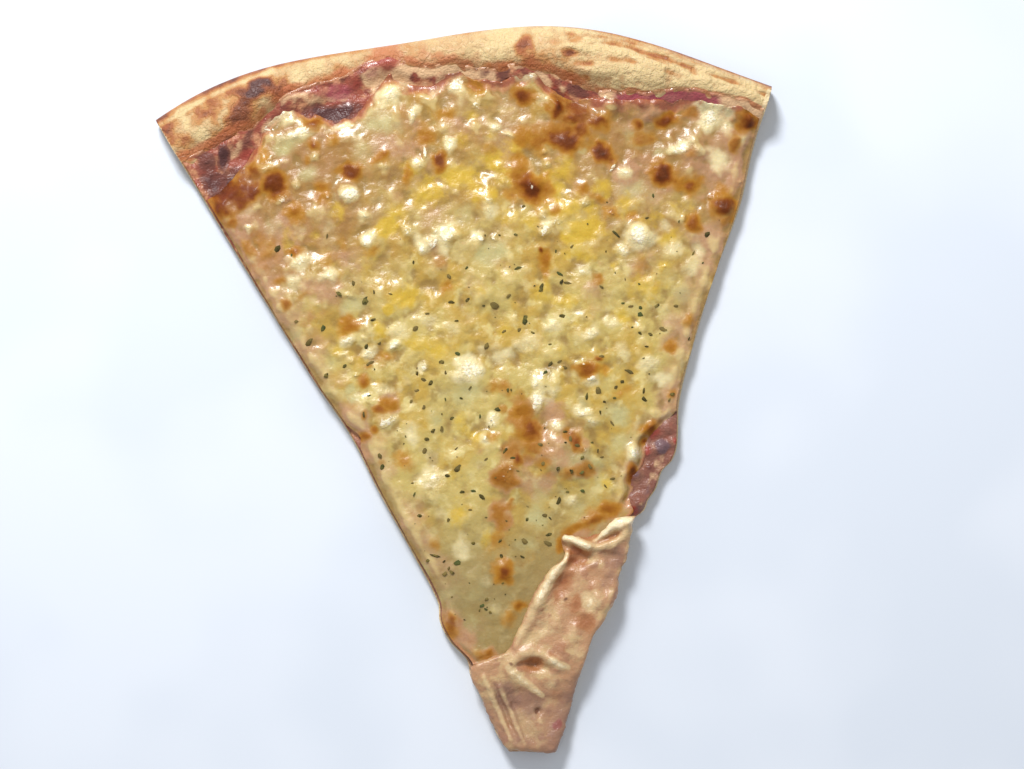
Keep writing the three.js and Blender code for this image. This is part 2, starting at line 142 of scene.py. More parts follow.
FLAP_LEFT = [
    (14, -11.6), (19, -14.8), (26, -17.1), (32, -19), (38, -20.8), (41, -18.8), (43, -14),
    (44.8, -10.6), (50, -6.8), (57, -2.4), (63.5, 2), (67, 5.5), (69, 8.6), (72, 9.2), (82, 10),
]
FLAP_TOP = [(6, 68), (9, 75.5), (14, 75.2), (20, 75.4), (25, 78.4), (31, 79.5)]
FLAP_ON_DOUGH = 31
FLAP_ON_CHEESE = 43
PRESSED_CHEESE = 6.2

FLAP_DENTS = [
    (-2.6, 40.2, 3, -0.9), (-3.5, 26, 1.6, -1.0), (14, 68.5, 4, -0.9), (18, 75.5, 3.5, -1.2),
    (8, 62, 4.5, -0.7), (17.5, 56, 3.4, 0.6), (4, 53, 6, 0.4), (1, 34, 5, 0.4), (-9, 30, 5, -0.4),
    (12, 51, 3, -0.4), (24, 66, 4, -0.5), (-4, 22, 4, 0.3), (25, 74.5, 2, -1.0),
]
# Ridges and creases on the flap: (x, y, half width, height), with how pale each one is.
FOLDS = [
    (0.95, [(10.4, 70.6, 1.5, 0.7), (8.8, 68.4, 2.3, 1.5), (6.4, 65.6, 2.6, 1.7),
            (3.4, 61.8, 2.6, 1.4), (0.8, 58, 2.4, 1.1)]),
    (0.5, [(0.8, 58, 2.4, 1.1), (-1.8, 54.2, 2.4, 1.0), (-4.6, 50.6, 2.2, 0.9),
           (-8, 46.4, 1.9, 0.6)]),
    (1.1, [(10.4, 75.6, 1.7, 1.2), (12.6, 74.8, 2.1, 1.7), (14.6, 73.2, 2.1, 1.5),
           (17, 71.8, 1.8, 1.2)]),
    (0.65, [(17, 71.8, 1.8, 1.2), (20.4, 71.2, 2.0, 1.2), (24, 71.6, 2.1, 1.3),
            (27.2, 73.6, 1.9, 1.2), (29.4, 76.4, 1.5, 0.8)]),
    (1.1, [(19.4, 73.9, 1.5, 0.5), (22, 75.6, 2.5, 1.5), (25, 77.2, 3.0, 1.9),
           (28.4, 78.2, 2.9, 1.9), (30.4, 77.8, 2.0, 1.4)]),
    (0.35, [(30.2, 76.8, 1.8, 1.2), (30, 72.6, 1.6, 0.8), (28.8, 69, 1.5, 0.6),
            (27.4, 65.6, 1.3, 0.4)]),
    (0.55, [(-9, 41.4, 1.6, 0.6), (-6.6, 43.2, 2.0, 1.1), (-3.4, 43.8, 2.2, 1.2),
            (-0.2, 42.6, 2.0, 1.0), (2.2, 40.4, 1.9, 0.8)]),
    (0.95, [(2.2, 40.4, 1.9, 0.8), (4.4, 38.6, 1.9, 0.9), (6.8, 37.6, 1.4, 0.3)]),
    (0.85, [(-10.6, 40, 1.6, 0.6), (-8.8, 37.8, 2.2, 1.4), (-6.6, 35.2, 2.1, 1.3),
            (-4, 32.6, 1.7, 0.9), (-1.6, 30.4, 1.2, 0.2)]),
    (0.6, [(-17.8, 38, 1.3, 0.7), (-16, 31, 1.4, 1.0), (-14.2, 25, 1.3, 1.0),
           (-12.4, 19, 1.2, 0.6)]),
    (0.5, [(-13.4, 34, 1.4, 0.6), (-11.8, 28, 1.4, 1.0), (-10, 22, 1.3, 0.9),
           (-8.6, 17, 1.2, 0.5)]),
    (0.1, [(-5, 27, 1.5, 0.4), (-4.2, 22, 1.6, 0.5), (-3.4, 17, 1.3, 0.3)]),
    (0.1, [(27.6, 65, 1.4, 0.5), (24.2, 60.6, 1.6, 0.7), (20.6, 55, 1.6, 0.7),
           (17, 49, 1.5, 0.6), (14.2, 43, 1.4, 0.4), (10, 35, 1.3, 0.3)]),
    (0.2, [(12, 52, 1.9, 0.5), (9.5, 46, 2.1, 0.7), (6, 41, 1.9, 0.3)]),
    (0.25, [(17, 60, 2.0, 0.6), (18.4, 56, 2.2, 0.8), (16, 52.4, 1.8, 0.4)]),
    (0.2, [(20, 68, 2.0, 0.5), (22.6, 64.4, 2.2, 0.7), (22, 60.6, 1.8, 0.4)]),
]
CREASES = [
    [(18.4, 71.9, 0.7, 0.5), (21, 72.7, 0.9, 0.9), (24.4, 73.6, 0.9, 0.9), (28, 75.8, 0.7, 0.5)],
    [(9.8, 72.4, 1.2, 0.7), (12.4, 71.6, 1.4, 1.0), (14, 69.8, 1.2, 0.6)],
    [(9, 66.4, 1.2, 0.4), (13.6, 68.2, 1.5, 0.9), (19, 68, 1.6, 0.9), (25, 68.4, 1.4, 0.6)],
    [(-15.6, 36, 0.7, 0.5), (-13.8, 29, 0.8, 0.7), (-12, 22, 0.7, 0.5)],
    [(-11.6, 33, 0.7, 0.4), (-9.8, 26, 0.8, 0.6), (-8, 19, 0.7, 0.4)],
    [(-9, 38.6, 0.8, 0.5), (-6, 39.8, 1.2, 0.8), (-2.4, 39.8, 1.6, 1.3), (1, 37.6, 1.2, 0.6)],
    [(7.4, 62, 2.2, 0.5), (5, 56, 2.2, 0.5), (0.6, 50, 2.0, 0.3)],
]

SHELF = [(72, 78), (105, 109)]  # where the shelf along the right cut begins and ends
FLAP_LEAVES_CUT = (40, 44.5)  # where the folded tip's left edge leaves the left cut
FLAP_EDGE_WIDTH = 2.8
FLAP_EDGE_DROP = 1.9
FLAP_SUNK = 0.8  # how far the folded tip reaches into the dough below it
FLAP_OVERLAP = 0.3  # and into the cheese
PRESSED_REACH = (5, 1.8)  # how far from the folded tip the cheese is pressed a little, and fully
CREST_LIMIT = 12
CREST_ROUNDING = 0.7

# ---- Meshes ------------------------------------------------------------------------------------

CRUST_CELL = 0.55  # side of the squares of each flat sheet
SAUCE_CELL = 0.7
CHEESE_CELL = 0.48
FLAP_CELL = 0.5
CRUST_REACH = (14, 228)  # where each sheet begins and ends before it is set to its outline
SAUCE_REACH = (38, 216)
CHEESE_REACH = (41, 211)
FLAP_SHEET = (60, 72)
FLAP_SHEET_MIDDLE = (8, 46)
FLAP_VOXEL = 0.42
SIDE_RINGS = 5  # rings of points up the side of the dough
OUTLINE_ROUNDS = 16
CRUST_KEPT = 0.12  # share of the points that stay where a layer is out of sight
SAUCE_KEPT = 0.1
CHEESE_KEPT = 0.05
OVERLAP = 0.05  # how far a layer sinks into the one below it

# ---- Herb flakes -------------------------------------------------------------------------------

HERB_SEED = 20
HERB_ZONE = (52, 172)  # where tiny flakes may lie along the slice
HERB_INSET = 3
TINY_LENGTH = (0.35, 0.9)
FLAKE_WIDTH = (0.35, 0.75)  # share of a flake's length
STALK_LENGTH = 3.3  # the least length of a stalk
STALK_WIDTH = 0.2
FLAKE_CURL = 0.25
FLAKE_LEAN = 0.3
FLAKE_LIFT = 0.1

# ---- Stage -------------------------------------------------------------------------------------

TABLE_SIZE = 4  # metres, as are the next three
WINDOW_PLACE = (-0.12, 0.6, 0.62)
WINDOW_SIZE = 0.2
LOOKED_AT = (3.9 * MM, 1.1 * MM, 5 * MM)
CAMERA_ROLL = math.radians(-7.1)
SENSOR_WIDTH = 36
PICTURE_WIDTH = 1024  # pixels
MM_PER_PIXEL = 0.295


# ---- Small tools for numbers -------------------------------------------------------------------

def mix(low, high, share):
    return low + (high - low) * share


def smooth(value, start, end):
    share = np.clip((value - start) / (end - start), 0, 1)
    return share * share * (3 - 2 * share)


def through(pairs, at):
    """A smooth line through (position, value) pairs, level beyond its ends."""
    places, values = np.array(pairs, float).T
    numbers = np.arange(len(places))
    before, after = np.maximum(numbers - 1, 0), np.minimum(numbers + 1, len(places) - 1)
    slope = (values[after] - values[before]) / (places[after] - places[before])
    at = np.clip(at, places[0], places[-1])
    i = np.clip(np.searchsorted(places, at, side="right") - 1, 0, len(places) - 2)
    width = places[i + 1] - places[i]
    t = (at - places[i]) / width
    bend = slope[i] * width * t * (1 - t) ** 2 - slope[i + 1] * width * t * t * (1 - t)
    return values[i] + (values[i + 1] - values[i]) * t * t * (3 - 2 * t) + bend


def turned(x, y, degrees):
    cos, sin = math.cos(math.radians(degrees)), math.sin(math.radians(degrees))
    return x * cos - y * sin, x * sin + y * cos


def scramble(state):
    """One draw from 0 to 1 for each whole number, the same as the frame's own draws."""
    shape = np.shape(state)
    state = np.atleast_1d(state).astype(np.int64).astype(np.uint32) + np.uint32(0x6D2B79F5)
    bits = (state ^ (state >> 15)) * (state | 1)
    bits = (bits + (bits ^ (bits >> 7)) * (bits | 61)) ^ bits
    return ((bits ^ (bits >> 14)) / 4294967296).reshape(shape)


def random_numbers(seed):
    """Seeded draws from 0 to 1, one after another."""
    step = 0
    while True:
        yield float(scramble((seed + step * 0x6D2B79F5) & 0xFFFFFFFF))
        step += 1


def lumps(x, y, apart):
    """Soft lumps from -1 to 1, a given distance apart, at the frame's own places."""
    x, y = np.broadcast_arrays(np.asarray(x, float), np.asarray(y, float))
    i, j = np.floor(x / apart), np.floor(y / apart)
    u, v = smooth(x / apart - i, 0, 1), smooth(y / apart - j, 0, 1)

    def corner(a, b):
        return scramble(a * 7919 + b * 104729 + round(apart * 10)) * 2 - 1

    return mix(
        mix(corner(i, j), corner(i + 1, j), u), mix(corner(i, j + 1), corner(i + 1, j + 1), u), v
    )


def cloud(x, y, size, seed, layers=3):
    """Uneven mottling, about from -1 to 1, whose largest patches are size across."""
    total, weight = 0, 1.0
    for layer in range(layers):
        turn = 0.6 + 1.3 * layer + seed
        u = x * math.cos(turn) - y * math.sin(turn) + 37.7 * seed
        v = x * math.sin(turn) + y * math.cos(turn) - 91.3 * seed
        total = total + weight * lumps(u, v, size)
        weight *= 0.55
        size *= 0.5
    return total


# ---- Outline and heights -----------------------------------------------------------------------

def left_side(y):
    return -(CUT_SLOPE * y + through(LEFT_WANDER, y))


def right_side(y):
    return CUT_SLOPE * y + through(RIGHT_WANDER, y)


def rim_radius(angle):
    return RIM_RADIUS - RIM_WAVE * np.cos(2 * np.pi * (angle - RIM_WAVE_DIP) / RIM_WAVE_PERIOD)


def rim_edge(x):
    across = x - RIM_CENTRE_X
    radius = rim_radius(np.degrees(np.arcsin(np.clip(across / RIM_RADIUS, -1, 1))))
    return RIM_CENTRE_Y + np.sqrt(radius * radius - across * across)


def depth_from_rim(x, y):
    across, along = x - RIM_CENTRE_X, y - RIM_CENTRE_Y
    return rim_radius(np.degrees(np.arctan2(across, along))) - np.hypot(across, along)


def tip_edge(x):
    return TIP_Y - TIP_SLANT * np.tanh((x - TIP_MIDDLE_X) / TIP_SLANT_WIDTH)


def inside_rim(x, start, ragged):
    steepness = np.cos(np.arcsin(np.clip((x - RIM_CENTRE_X) / RIM_RADIUS, -1, 1)))
    return rim_edge(x) - through(start, x) / steepness + ragged * lumps(x, 0, 6)


def sauce_left(y):
    return left_side(y) + through(SAUCE_LEFT_INSET, y)


def sauce_right(y):
    return right_side(y) - through(SAUCE_RIGHT_INSET, y)


def sauce_rim_edge(x):
    return inside_rim(x, SAUCE_START, 0.9) + 0.5 * cloud(x, 0, 3.5, 41, 2)


def cheese_left(y):
    return left_side(y) + through(CHEESE_LEFT_INSET, y) + 0.4 * lumps(3, y, 7)


def cheese_right(y):
    return right_side(y) - through(CHEESE_RIGHT_INSET, y) - 0.4 * lumps(9, y, 7)


def cheese_rim_edge(x):
    return inside_rim(x, CHEESE_START, 1.3) + 0.6 * cloud(x, 0, 3.5, 42, 3)


def flap_left(y):
    return through(FLAP_LEFT, y)


def flap_right(y):
    return right_side(y) - FLAP_SIDE_INSET


def flap_to_side(x, y):
    """How far a point lies inside the folded tip, which bulges a little over the cuts."""
    left = mix(left_side(y) - FLAP_BULGE, flap_left(y), smooth(y, *FLAP_LEAVES_CUT))
    across = np.minimum(x - left, right_side(y) + FLAP_BULGE - x)
    along = np.minimum(through(FLAP_TOP, x) - y, y - tip_edge(x) + FLAP_BULGE)
    return np.minimum(across, along) + 0.4 * cloud(x, y, 5, 25, 3) - 0.1


def tip_lift(y):
    return TIP_LIFT * (1 - smooth(y, TIP_Y, TIP_LIFT_END))


def dough_under(x, y):
    inwards = np.clip(depth_from_rim(x, y) / RIM_UNDER_WIDTH, 0, 1)
    return tip_lift(y) + RIM_EDGE_UNDER * (1 - np.sqrt(inwards * (2 - inwards)))


def rounds(x, y, places, away=0):
    """Round rises, each (x, y, radius, height)."""
    total = 0
    for cx, cy, radius, height in places:
        distance = np.hypot(x - cx, y - cy) + away * radius
        total = total + height * (1 - smooth(distance, radius * 0.25, radius))
    return total


def dough_base(x, y):
    """Top of the dough with its puffed rim, before any small relief."""
    depth = np.maximum(depth_from_rim(x, y), 0)
    foot = through(SAUCE_START, x) + FOOT_BEHIND_SAUCE
    crest = foot * CREST_SHARE
    height = through(RIM_HEIGHT, x)
    rise = np.clip(depth / crest, 0, 1)
    outside = mix(RIM_EDGE_TOP, height, np.sqrt(rise * (2 - rise)))
    inside = mix(height, DOUGH, smooth(depth, crest, foot))
    flat = DOUGH + tip_lift(y) + rounds(x, y, DOUGH_BUBBLES)
    return np.where(depth >= foot, flat, np.where(depth > crest, inside, outside))


def crust_top(x, y):
    """Top of the dough with its blisters, wrinkles and folds."""
    depth = depth_from_rim(x, y)
    bare = through(SAUCE_START, x)
    relief = 0.45 * cloud(x, y, 11, 2, 2) + 0.3 * cloud(x, y, 4.5, 3, 3)
    puffed = smooth(x, 15, 35) * (1 - smooth(depth, bare - 4, bare))
    along = RIM_RADIUS * np.arctan2(x - RIM_CENTRE_X, y - RIM_CENTRE_Y)
    folds = cloud(along / 2.6 + depth * 0.15, depth, 3.4, 4, 2)
    relief = relief + puffed * (0.7 * lumps(x, y, 5) + 0.95 * folds)
    groove = 0.7 * smooth(x, 34, 44) * (1 - smooth(np.abs(depth - 4.2), 0.2, 1.3))
    relief = relief - groove + 0.9 * spots(x, y, [(-65, 217, 6, 1, 1.3, 10)]) * smooth(depth, 1, 4)
    on_rim = 1 - smooth(depth, bare - 1, bare + 4)
    height = dough_base(x, y) + on_rim * smooth(depth, 0, 3) * relief
    over = CREST_LIMIT + np.tanh((height - CREST_LIMIT) / CREST_ROUNDING) * CREST_ROUNDING
    return np.where(height > CREST_LIMIT, over, height)


def near_flap(x, y):
    """1 under the folded tip and close to it, 0 away from it."""
    far, close = PRESSED_REACH
    beside = smooth(x, flap_left(y) - far, flap_left(y) - close)
    top = through(FLAP_TOP, x)
    return beside * (1 - smooth(y, top + close, top + far))


def on_shelf(y):
    """1 along the right cut where the cheese stops short of it, 0 elsewhere."""
    return smooth(y, *SHELF[0]) * (1 - smooth(y, *SHELF[1]))


def sauce_top(x, y):
    lumpy = rounds(x, y, SAUCE_LUMPS, 0.15 * cloud(x, y, 2.5, 17, 2))
    sauce = mix(-0.5, SAUCE, smooth(sauce_rim_edge(x) - y, 0, 4))
    return dough_base(x, y) + GAP + sauce + lumpy


def cheese_top(x, y):
    calm = spots(x, y, CALM)
    thickness = CHEESE + GAP
    for apart, height in ((17, 0.5), (8.5, 0.55), (5, 0.2)):
        thickness = thickness + height * lumps(x, y, apart)
    thickness = thickness + rounds(x, y, BLISTERS, 0.12 * cloud(x, y, 3, 5, 2))
    rough = mix(0.22, 0.4, smooth(y, 70, 130)) * (1 - 0.7 * calm)
    thickness = thickness + rough * cloud(x, y, 4.6, 1, 3)
    thickness = thickness + 0.5 * spots(x, y, GLINT_BUMPS, core=0, edge=1.6)
    thickness = thickness + 0.5 * np.minimum(spots(x, y, BROWNED, core=0, edge=1.3), 0.8)
    thickness = thickness - 0.5 * spots(x, y, [(14, 179.5, 1.6, 1)])
    to_side = np.minimum(np.minimum(x - cheese_left(y), cheese_right(y) - x), y - CHEESE_END)
    thickness = thickness - CHEESE_LIP * (1 - smooth(to_side, 0, CHEESE_LIP_WIDTH))
    thickness = np.maximum(thickness, CHEESE_LEAST)
    thickness = thickness * (1 - on_shelf(y) * (1 - smooth(cheese_right(y) - x, 0, 4)))
    to_rim = cheese_rim_edge(x) - y + 0.9 * cloud(x, y, 3, 43, 2)
    loose = sauce_top(x, y) + mix(-0.25, thickness, smooth(to_rim, -1.6, 5.2))
    return mix(loose, PRESSED_CHEESE, near_flap(x, y))


def hollow(height, x, y, reach):
    """How far a surface lies below its surroundings, in mm."""
    around = 0
    for turn in range(6):
        step = (reach * math.cos(turn * math.pi / 3), reach * math.sin(turn * math.pi / 3))
        around = around + height(x + step[0], y + step[1]) / 6
    return around - height(x, y)


def along_line(x, y, line):
    """A smooth ridge, and its profile from 0 to 1, along corners of (x, y, half width, height)."""
    ridge, profile = np.zeros_like(x), np.zeros_like(x)
    for (ax, ay, *low), (bx, by, *high) in zip(line, line[1:]):
        length = (bx - ax) ** 2 + (by - ay) ** 2
        share = np.clip(((x - ax) * (bx - ax) + (y - ay) * (by - ay)) / length, 0, 1)
        away = np.hypot(x - mix(ax, bx, share), y - mix(ay, by, share))
        here = 1 - smooth(away / mix(low[0], high[0], share), 0.1, 1.4)
        ridge = np.maximum(ridge, here * mix(low[1], high[1], share))
        profile = np.maximum(profile, here)
    return ridge, profile


def flap_level(x, y):
    """The surface that the folded tip lies on."""
    on_dough = DOUGH + tip_lift(y)
    return mix(on_dough, PRESSED_CHEESE + GAP, smooth(y, FLAP_ON_DOUGH - 12, FLAP_ON_CHEESE))


def flap_under(x, y):
    sunk = DOUGH + tip_lift(y) - FLAP_SUNK
    return mix(sunk, PRESSED_CHEESE - FLAP_OVERLAP, smooth(y, FLAP_ON_DOUGH, FLAP_ON_CHEESE - 3))


def flap_top(x, y):
    height = flap_level(x, y) + FLAP + 0.35 * lumps(x, y, 7) - 0.25
    height = height + rounds(x, y, FLAP_DENTS)
    u, v = x + 0.5 * cloud(x, y, 6, 23, 2), y + 0.5 * cloud(x, y, 6, 24, 2)
    for _, line in FOLDS:
        height = height + along_line(u, v, line)[0]
    for line in CREASES:
        height = height - along_line(u, v, line)[0]
    rounding = np.clip(flap_to_side(x, y) / FLAP_EDGE_WIDTH, 0, 1)
    return height - FLAP_EDGE_DROP * (1 - np.sqrt(rounding * (2 - rounding)))


# ---- Small tools for meshes --------------------------------------------------------------------

def deselect_all():
    if bpy.context.object and bpy.context.object.mode != "OBJECT":
        bpy.ops.object.mode_set(mode="OBJECT")
    bpy.ops.object.select_all(action="DESELECT")


def pick(piece):
    """Makes this piece the only one selected, and the active one."""
    deselect_all()
    piece.select_set(True)
    bpy.context.view_layer.objects.active = piece


def points(piece):
    co = np.empty(len(piece.data.vertices) * 3)
    piece.data.vertices.foreach_get("co", co)
    return co.reshape(-1, 3)


def set_points(piece, co):
    piece.data.vertices.foreach_set("co", np.ascontiguousarray(co, dtype=np.float64).ravel())
    piece.data.update()


def normals(piece):
    found = np.empty(len(piece.data.vertices) * 3)
    piece.data.vertices.foreach_get("normal", found)
    return found.reshape(-1, 3)


def edit_chosen(piece, kind, chosen):
    """Opens the mesh for editing with only the chosen vertices or edges selected."""
    pick(piece)
    bpy.ops.object.mode_set(mode="EDIT")
    bpy.ops.mesh.select_mode(type="VERT" if kind == "vertices" else "EDGE")
    bpy.ops.mesh.select_all(action="DESELECT")
    bpy.ops.object.mode_set(mode="OBJECT")
    getattr(piece.data, kind).foreach_set("select", chosen)
    bpy.ops.object.mode_set(mode="EDIT")


def apply_modifier(piece, kind, **settings):
    pick(piece)
    modifier = piece.modifiers.new(kind.title(), kind)
    for name, value in settings.items():
        setattr(modifier, name, value)
    bpy.ops.object.modifier_apply(modifier=modifier.name)


def paint(piece, name, values):
    """Stores one number per point, which a material reads by name."""
    attribute = piece.data.attributes.new(name, "FLOAT", "POINT")
    attribute.data.foreach_set("value", np.asarray(values, np.float32))


def set_in_frame(piece, body="root"):
    """Slice millimetres to the frame's metres, in the mesh, with the object at the origin."""
    co = points(piece)
    co[:, 0] -= ORIGIN_X
    co[:, 1] -= ORIGIN_Y
    set_points(piece, co * MM)
    pick(piece)
    bpy.ops.object.shade_smooth()
    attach(piece, body)


def flat_sheet(name, wide, long, middle, cell):
    """A grid of squares about as large as cell, lying at its place."""
    deselect_all()
    bpy.ops.mesh.primitive_grid_add(
        x_subdivisions=round(wide / cell), y_subdivisions=round(long / cell), size=1,
        location=(*middle, 0))
    piece = bpy.context.object
    piece.name = name
    piece.scale = (wide, long, 1)
    bpy.ops.object.transform_apply(location=True, rotation=False, scale=True)
    return piece


def wedge_slab(name, layer, cell, rings=0):
    """A flat sheet cut along both sides of the slice and thickened, for a layer's outline.

    Returns the piece and, for each point, its place on the outline, its level from 0 on the
    underside to 1 on top, and whether it is at the sheet's edge.
    """
    near, far = layer["reach"]
    piece = flat_sheet(name, 2 * CUT_SLOPE * far, far - near, (0, mix(near, far, 0.5)), cell)
    bpy.ops.object.mode_set(mode="EDIT")
    for side in (-1, 1):
        bpy.ops.mesh.select_all(action="SELECT")
        bpy.ops.mesh.bisect(plane_co=(0, 0, 0), plane_no=(side, -CUT_SLOPE, 0), clear_outer=True)
    bpy.ops.object.mode_set(mode="OBJECT")
    apply_modifier(piece, "SOLIDIFY", thickness=1, offset=-1)
    if rings:
        height = points(piece)[:, 2]
        ends = np.empty(len(piece.data.edges) * 2, int)
        piece.data.edges.foreach_get("vertices", ends)
        upright = np.abs(np.diff(height[ends.reshape(-1, 2)], axis=1)[:, 0]) > 0.5
        edit_chosen(piece, "edges", upright)
        bpy.ops.mesh.subdivide(number_cuts=rings)
        bpy.ops.object.mode_set(mode="OBJECT")
    co = points(piece)
    across = (co[:, 0] / (CUT_SLOPE * co[:, 1]) + 1) / 2
    along = (co[:, 1] - near) / (far - near)
    x, y = co[:, 0], co[:, 1]
    for _ in range(OUTLINE_ROUNDS):
        y = mix(layer["tip_end"](x), layer["rim_end"](x), along)
        x = mix(layer["left"](y), layer["right"](y), across)
    level = np.clip(1 + co[:, 2], 0, 1)
    edge = (across < 1e-4) | (across > 1 - 1e-4) | (along < 1e-4) | (along > 1 - 1e-4)
    return piece, np.column_stack([x, y]), level, edge


def thin_out(piece, chosen, keep):
    """Leaves about a share keep of the chosen points, and all the others."""
    group = piece.vertex_groups.new(name="hidden")
    group.add(np.flatnonzero(chosen).tolist(), 1.0, "REPLACE")
    share = 1 - chosen.mean() * (1 - keep)
    apply_modifier(piece, "DECIMATE", ratio=share, vertex_group="hidden")
    piece.vertex_groups.clear()


# ---- Materials ---------------------------------------------------------------------------------

def linear(hex_colour):
    """An sRGB hex colour as linear red, green and blue."""
    parts = [int(hex_colour[i:i + 2], 16) / 255 for i in (0, 2, 4)]
    return [c / 12.92 if c <= 0.04045 else ((c + 0.055) / 1.055) ** 2.4 for c in parts]


def add_node(tree, kind, inputs=None, **settings):
    """Adds a node. inputs holds a value or another node's output, by input name or number."""
    node = tree.nodes.new(kind)
    for name, value in settings.items():
        setattr(node, name, value)
    for name, value in (inputs or {}).items():
        if isinstance(value, bpy.types.NodeSocket):
            tree.links.new(value, node.inputs[name])
        else:
            node.inputs[name].default_value = value
    return node


def start_material(name):
    material = bpy.data.materials.new(name)
    material.use_nodes = True
    tree = material.node_tree
    tree.nodes.clear()
    return material, tree, add_node(tree, "ShaderNodeTexCoord").outputs["Object"]


def finish_material(tree, surface):
    add_node(tree, "ShaderNodeOutputMaterial", {"Surface": surface.outputs[0]})


class Painter:
    """Builds up one surface colour by mixing layers over each other."""

    def __init__(self, tree, place, colour):
        self.tree, self.place = tree, place
        self.colour = (*colour, 1)
        self.noises = {}

    def noise(self, size_mm, detail=3.0):
        """A noise of one size, made once and shared by all that use it."""
        if (size_mm, detail) not in self.noises:
            inputs = {"Vector": self.place, "Scale": 1 / (size_mm * MM), "Detail": detail,
                      "Roughness": 0.55}
            node = add_node(self.tree, "ShaderNodeTexNoise", inputs)
            self.noises[size_mm, detail] = node.outputs[0]
        return self.noises[size_mm, detail]

    def maths(self, operation, a, b):
        inputs = {0: a, 1: b}
        return add_node(self.tree, "ShaderNodeMath", inputs, operation=operation).outputs[0]

    def painted(self, name, broken=0.0, size_mm=3.0):
        """A painted amount, broken up by noise."""
        amount = add_node(self.tree, "ShaderNodeAttribute", attribute_name=name).outputs["Fac"]
        if not broken:
            return amount
        grain = self.maths("MULTIPLY", self.maths("SUBTRACT", self.noise(size_mm), 0.5), broken)
        return self.maths("ADD", amount, grain)

    def between(self, value, low, high, to_low=0.0, to_high=1.0):
        """Goes smoothly from to_low to to_high while value goes from low to high."""
        inputs = {"Value": value, "From Min": low, "From Max": high, "To Min": to_low,
                  "To Max": to_high}
        node = add_node(self.tree, "ShaderNodeMapRange", inputs, interpolation_type="SMOOTHSTEP")
        return node.outputs[0]

    def lay(self, hex_colour, value, low, high, most=1.0):
        """Mixes a flat colour over what is there, more and more as value goes from low to high."""
        # By number: input 0 is the share, 6 the colour underneath and 7 the colour laid over it.
        inputs = {0: self.between(value, low, high, 0.0, most), 6: self.colour,
                  7: (*linear(hex_colour), 1)}
        self.colour = add_node(self.tree, "ShaderNodeMix", inputs, data_type="RGBA").outputs[2]

    def bump(self, *patterns):
        """Relief from pairs of a pattern and its depth in mm."""
        height = 0.0
        for pattern, depth in patterns:
            height = self.maths("ADD", self.maths("MULTIPLY", pattern, depth), height)
        inputs = {"Height": height, "Strength": 1.0, "Distance": MM}
        return add_node(self.tree, "ShaderNodeBump", inputs).outputs[0]


def dough_material(colour):
    """Baked bread dough: dry, matt and porous, from pale to toasted brown where it bulged, with painted
    shade in its rim's hollows.
    """
    material, tree, place = start_material("baked_bread_dough")
    p = Painter(tree, place, colour)
    # Toasting, and painted shade in the rim's hollows with painted light on its crests
    toast_and_shade = p.painted("toast_and_shade", 0.5, 2.4)
    p.lay("c5a374", toast_and_shade, 0.14, 0.36)
    p.lay("b9854f", toast_and_shade, 0.32, 0.54)
    p.lay("a06238", toast_and_shade, 0.52, 0.74)
    p.lay("7b452b", toast_and_shade, 0.74, 0.94)
    p.lay("5a3833", toast_and_shade, 0.98, 1.2)
    p.lay("b5673f", p.painted("stain", 0.7, 3), 0.25, 0.9, 0.8)
    # Mauve-tan towards the tip: soft untoasted dough, and painted shade beside and under the folded tip
    p.lay("b08a6b", p.painted("steamed_and_shaded", 0.3, 4), 0.2, 0.8, 0.95)
    p.lay("e9d2a6", p.painted("crumb", 0.5, 1.2), 0.4, 0.8, 0.9)
    normal = p.bump((p.between(p.noise(1.2), 0.35, 0.62), 0.22), (p.noise(0.4, 2), 0.07))
    surface = add_node(tree, "ShaderNodeBsdfPrincipled", {
        "Base Color": p.colour, "Roughness": p.between(p.noise(3, 2), 0.3, 0.7, 0.42, 0.7),
        "Normal": normal, "IOR": 1.45, "Subsurface Weight": 0.12, "Subsurface Scale": 1.5 * MM,
        "Subsurface Radius": (1.0, 0.6, 0.3),
    })
    finish_material(tree, surface)
    return material


def folded_material(colour):
    """Soft dough from under the slice, turned up: steam-cooked not toasted, oily in folds, with painted
    shade.
    """
    material, tree, place = start_material("soft_folded_dough")
    p = Painter(tree, place, colour)
    p.lay("c6a678", p.noise(7), 0.46, 0.62)
    p.lay("a8785a", p.noise(4), 0.52, 0.68, 0.8)
    soaked = p.painted("soaked", 0.5, 4)
    p.lay("a97148", soaked, 0.15, 0.7, 0.9)
    p.lay("90502b", soaked, 0.7, 1.1, 0.85)
    # Painted shade: mauve-brown at the tip, along the right side and at listed creases
    p.lay("8f6a58", p.painted("painted_shade", 0.5, 4), 0.2, 0.9, 0.9)
    p.lay("8e4f48", p.painted("red", 0.4, 2), 0.3, 0.8, 0.9)
    # Pale cut dough on the ridges; the palest cream on their crest tops is painted highlight
    p.lay("d3b88a", p.painted("pale", 0.7, 2.5), 0.2, 0.7, 0.85)
    p.lay("ecdcb8", p.painted("pale", 1.0, 1.6), 0.7, 1.1, 0.9)
    # Painted shade: dark brown in the pits
    p.lay("6e4632", p.painted("pit_shade", 0.3, 2), 0.3, 0.8, 0.9)
    normal = p.bump((p.noise(2), 0.35), (p.noise(0.5, 2), 0.07))
    surface = add_node(tree, "ShaderNodeBsdfPrincipled", {
        "Base Color": p.colour, "Roughness": p.between(p.noise(2), 0.35, 0.65, 0.3, 0.5),
        "Normal": normal, "IOR": 1.45, "Subsurface Weight": 0.15, "Subsurface Scale": 1.5 * MM,
        "Subsurface Radius": (1.0, 0.6, 0.35), "Coat Weight": 0.2, "Coat Roughness": 0.2,
    })
    finish_material(tree, surface)
    return material


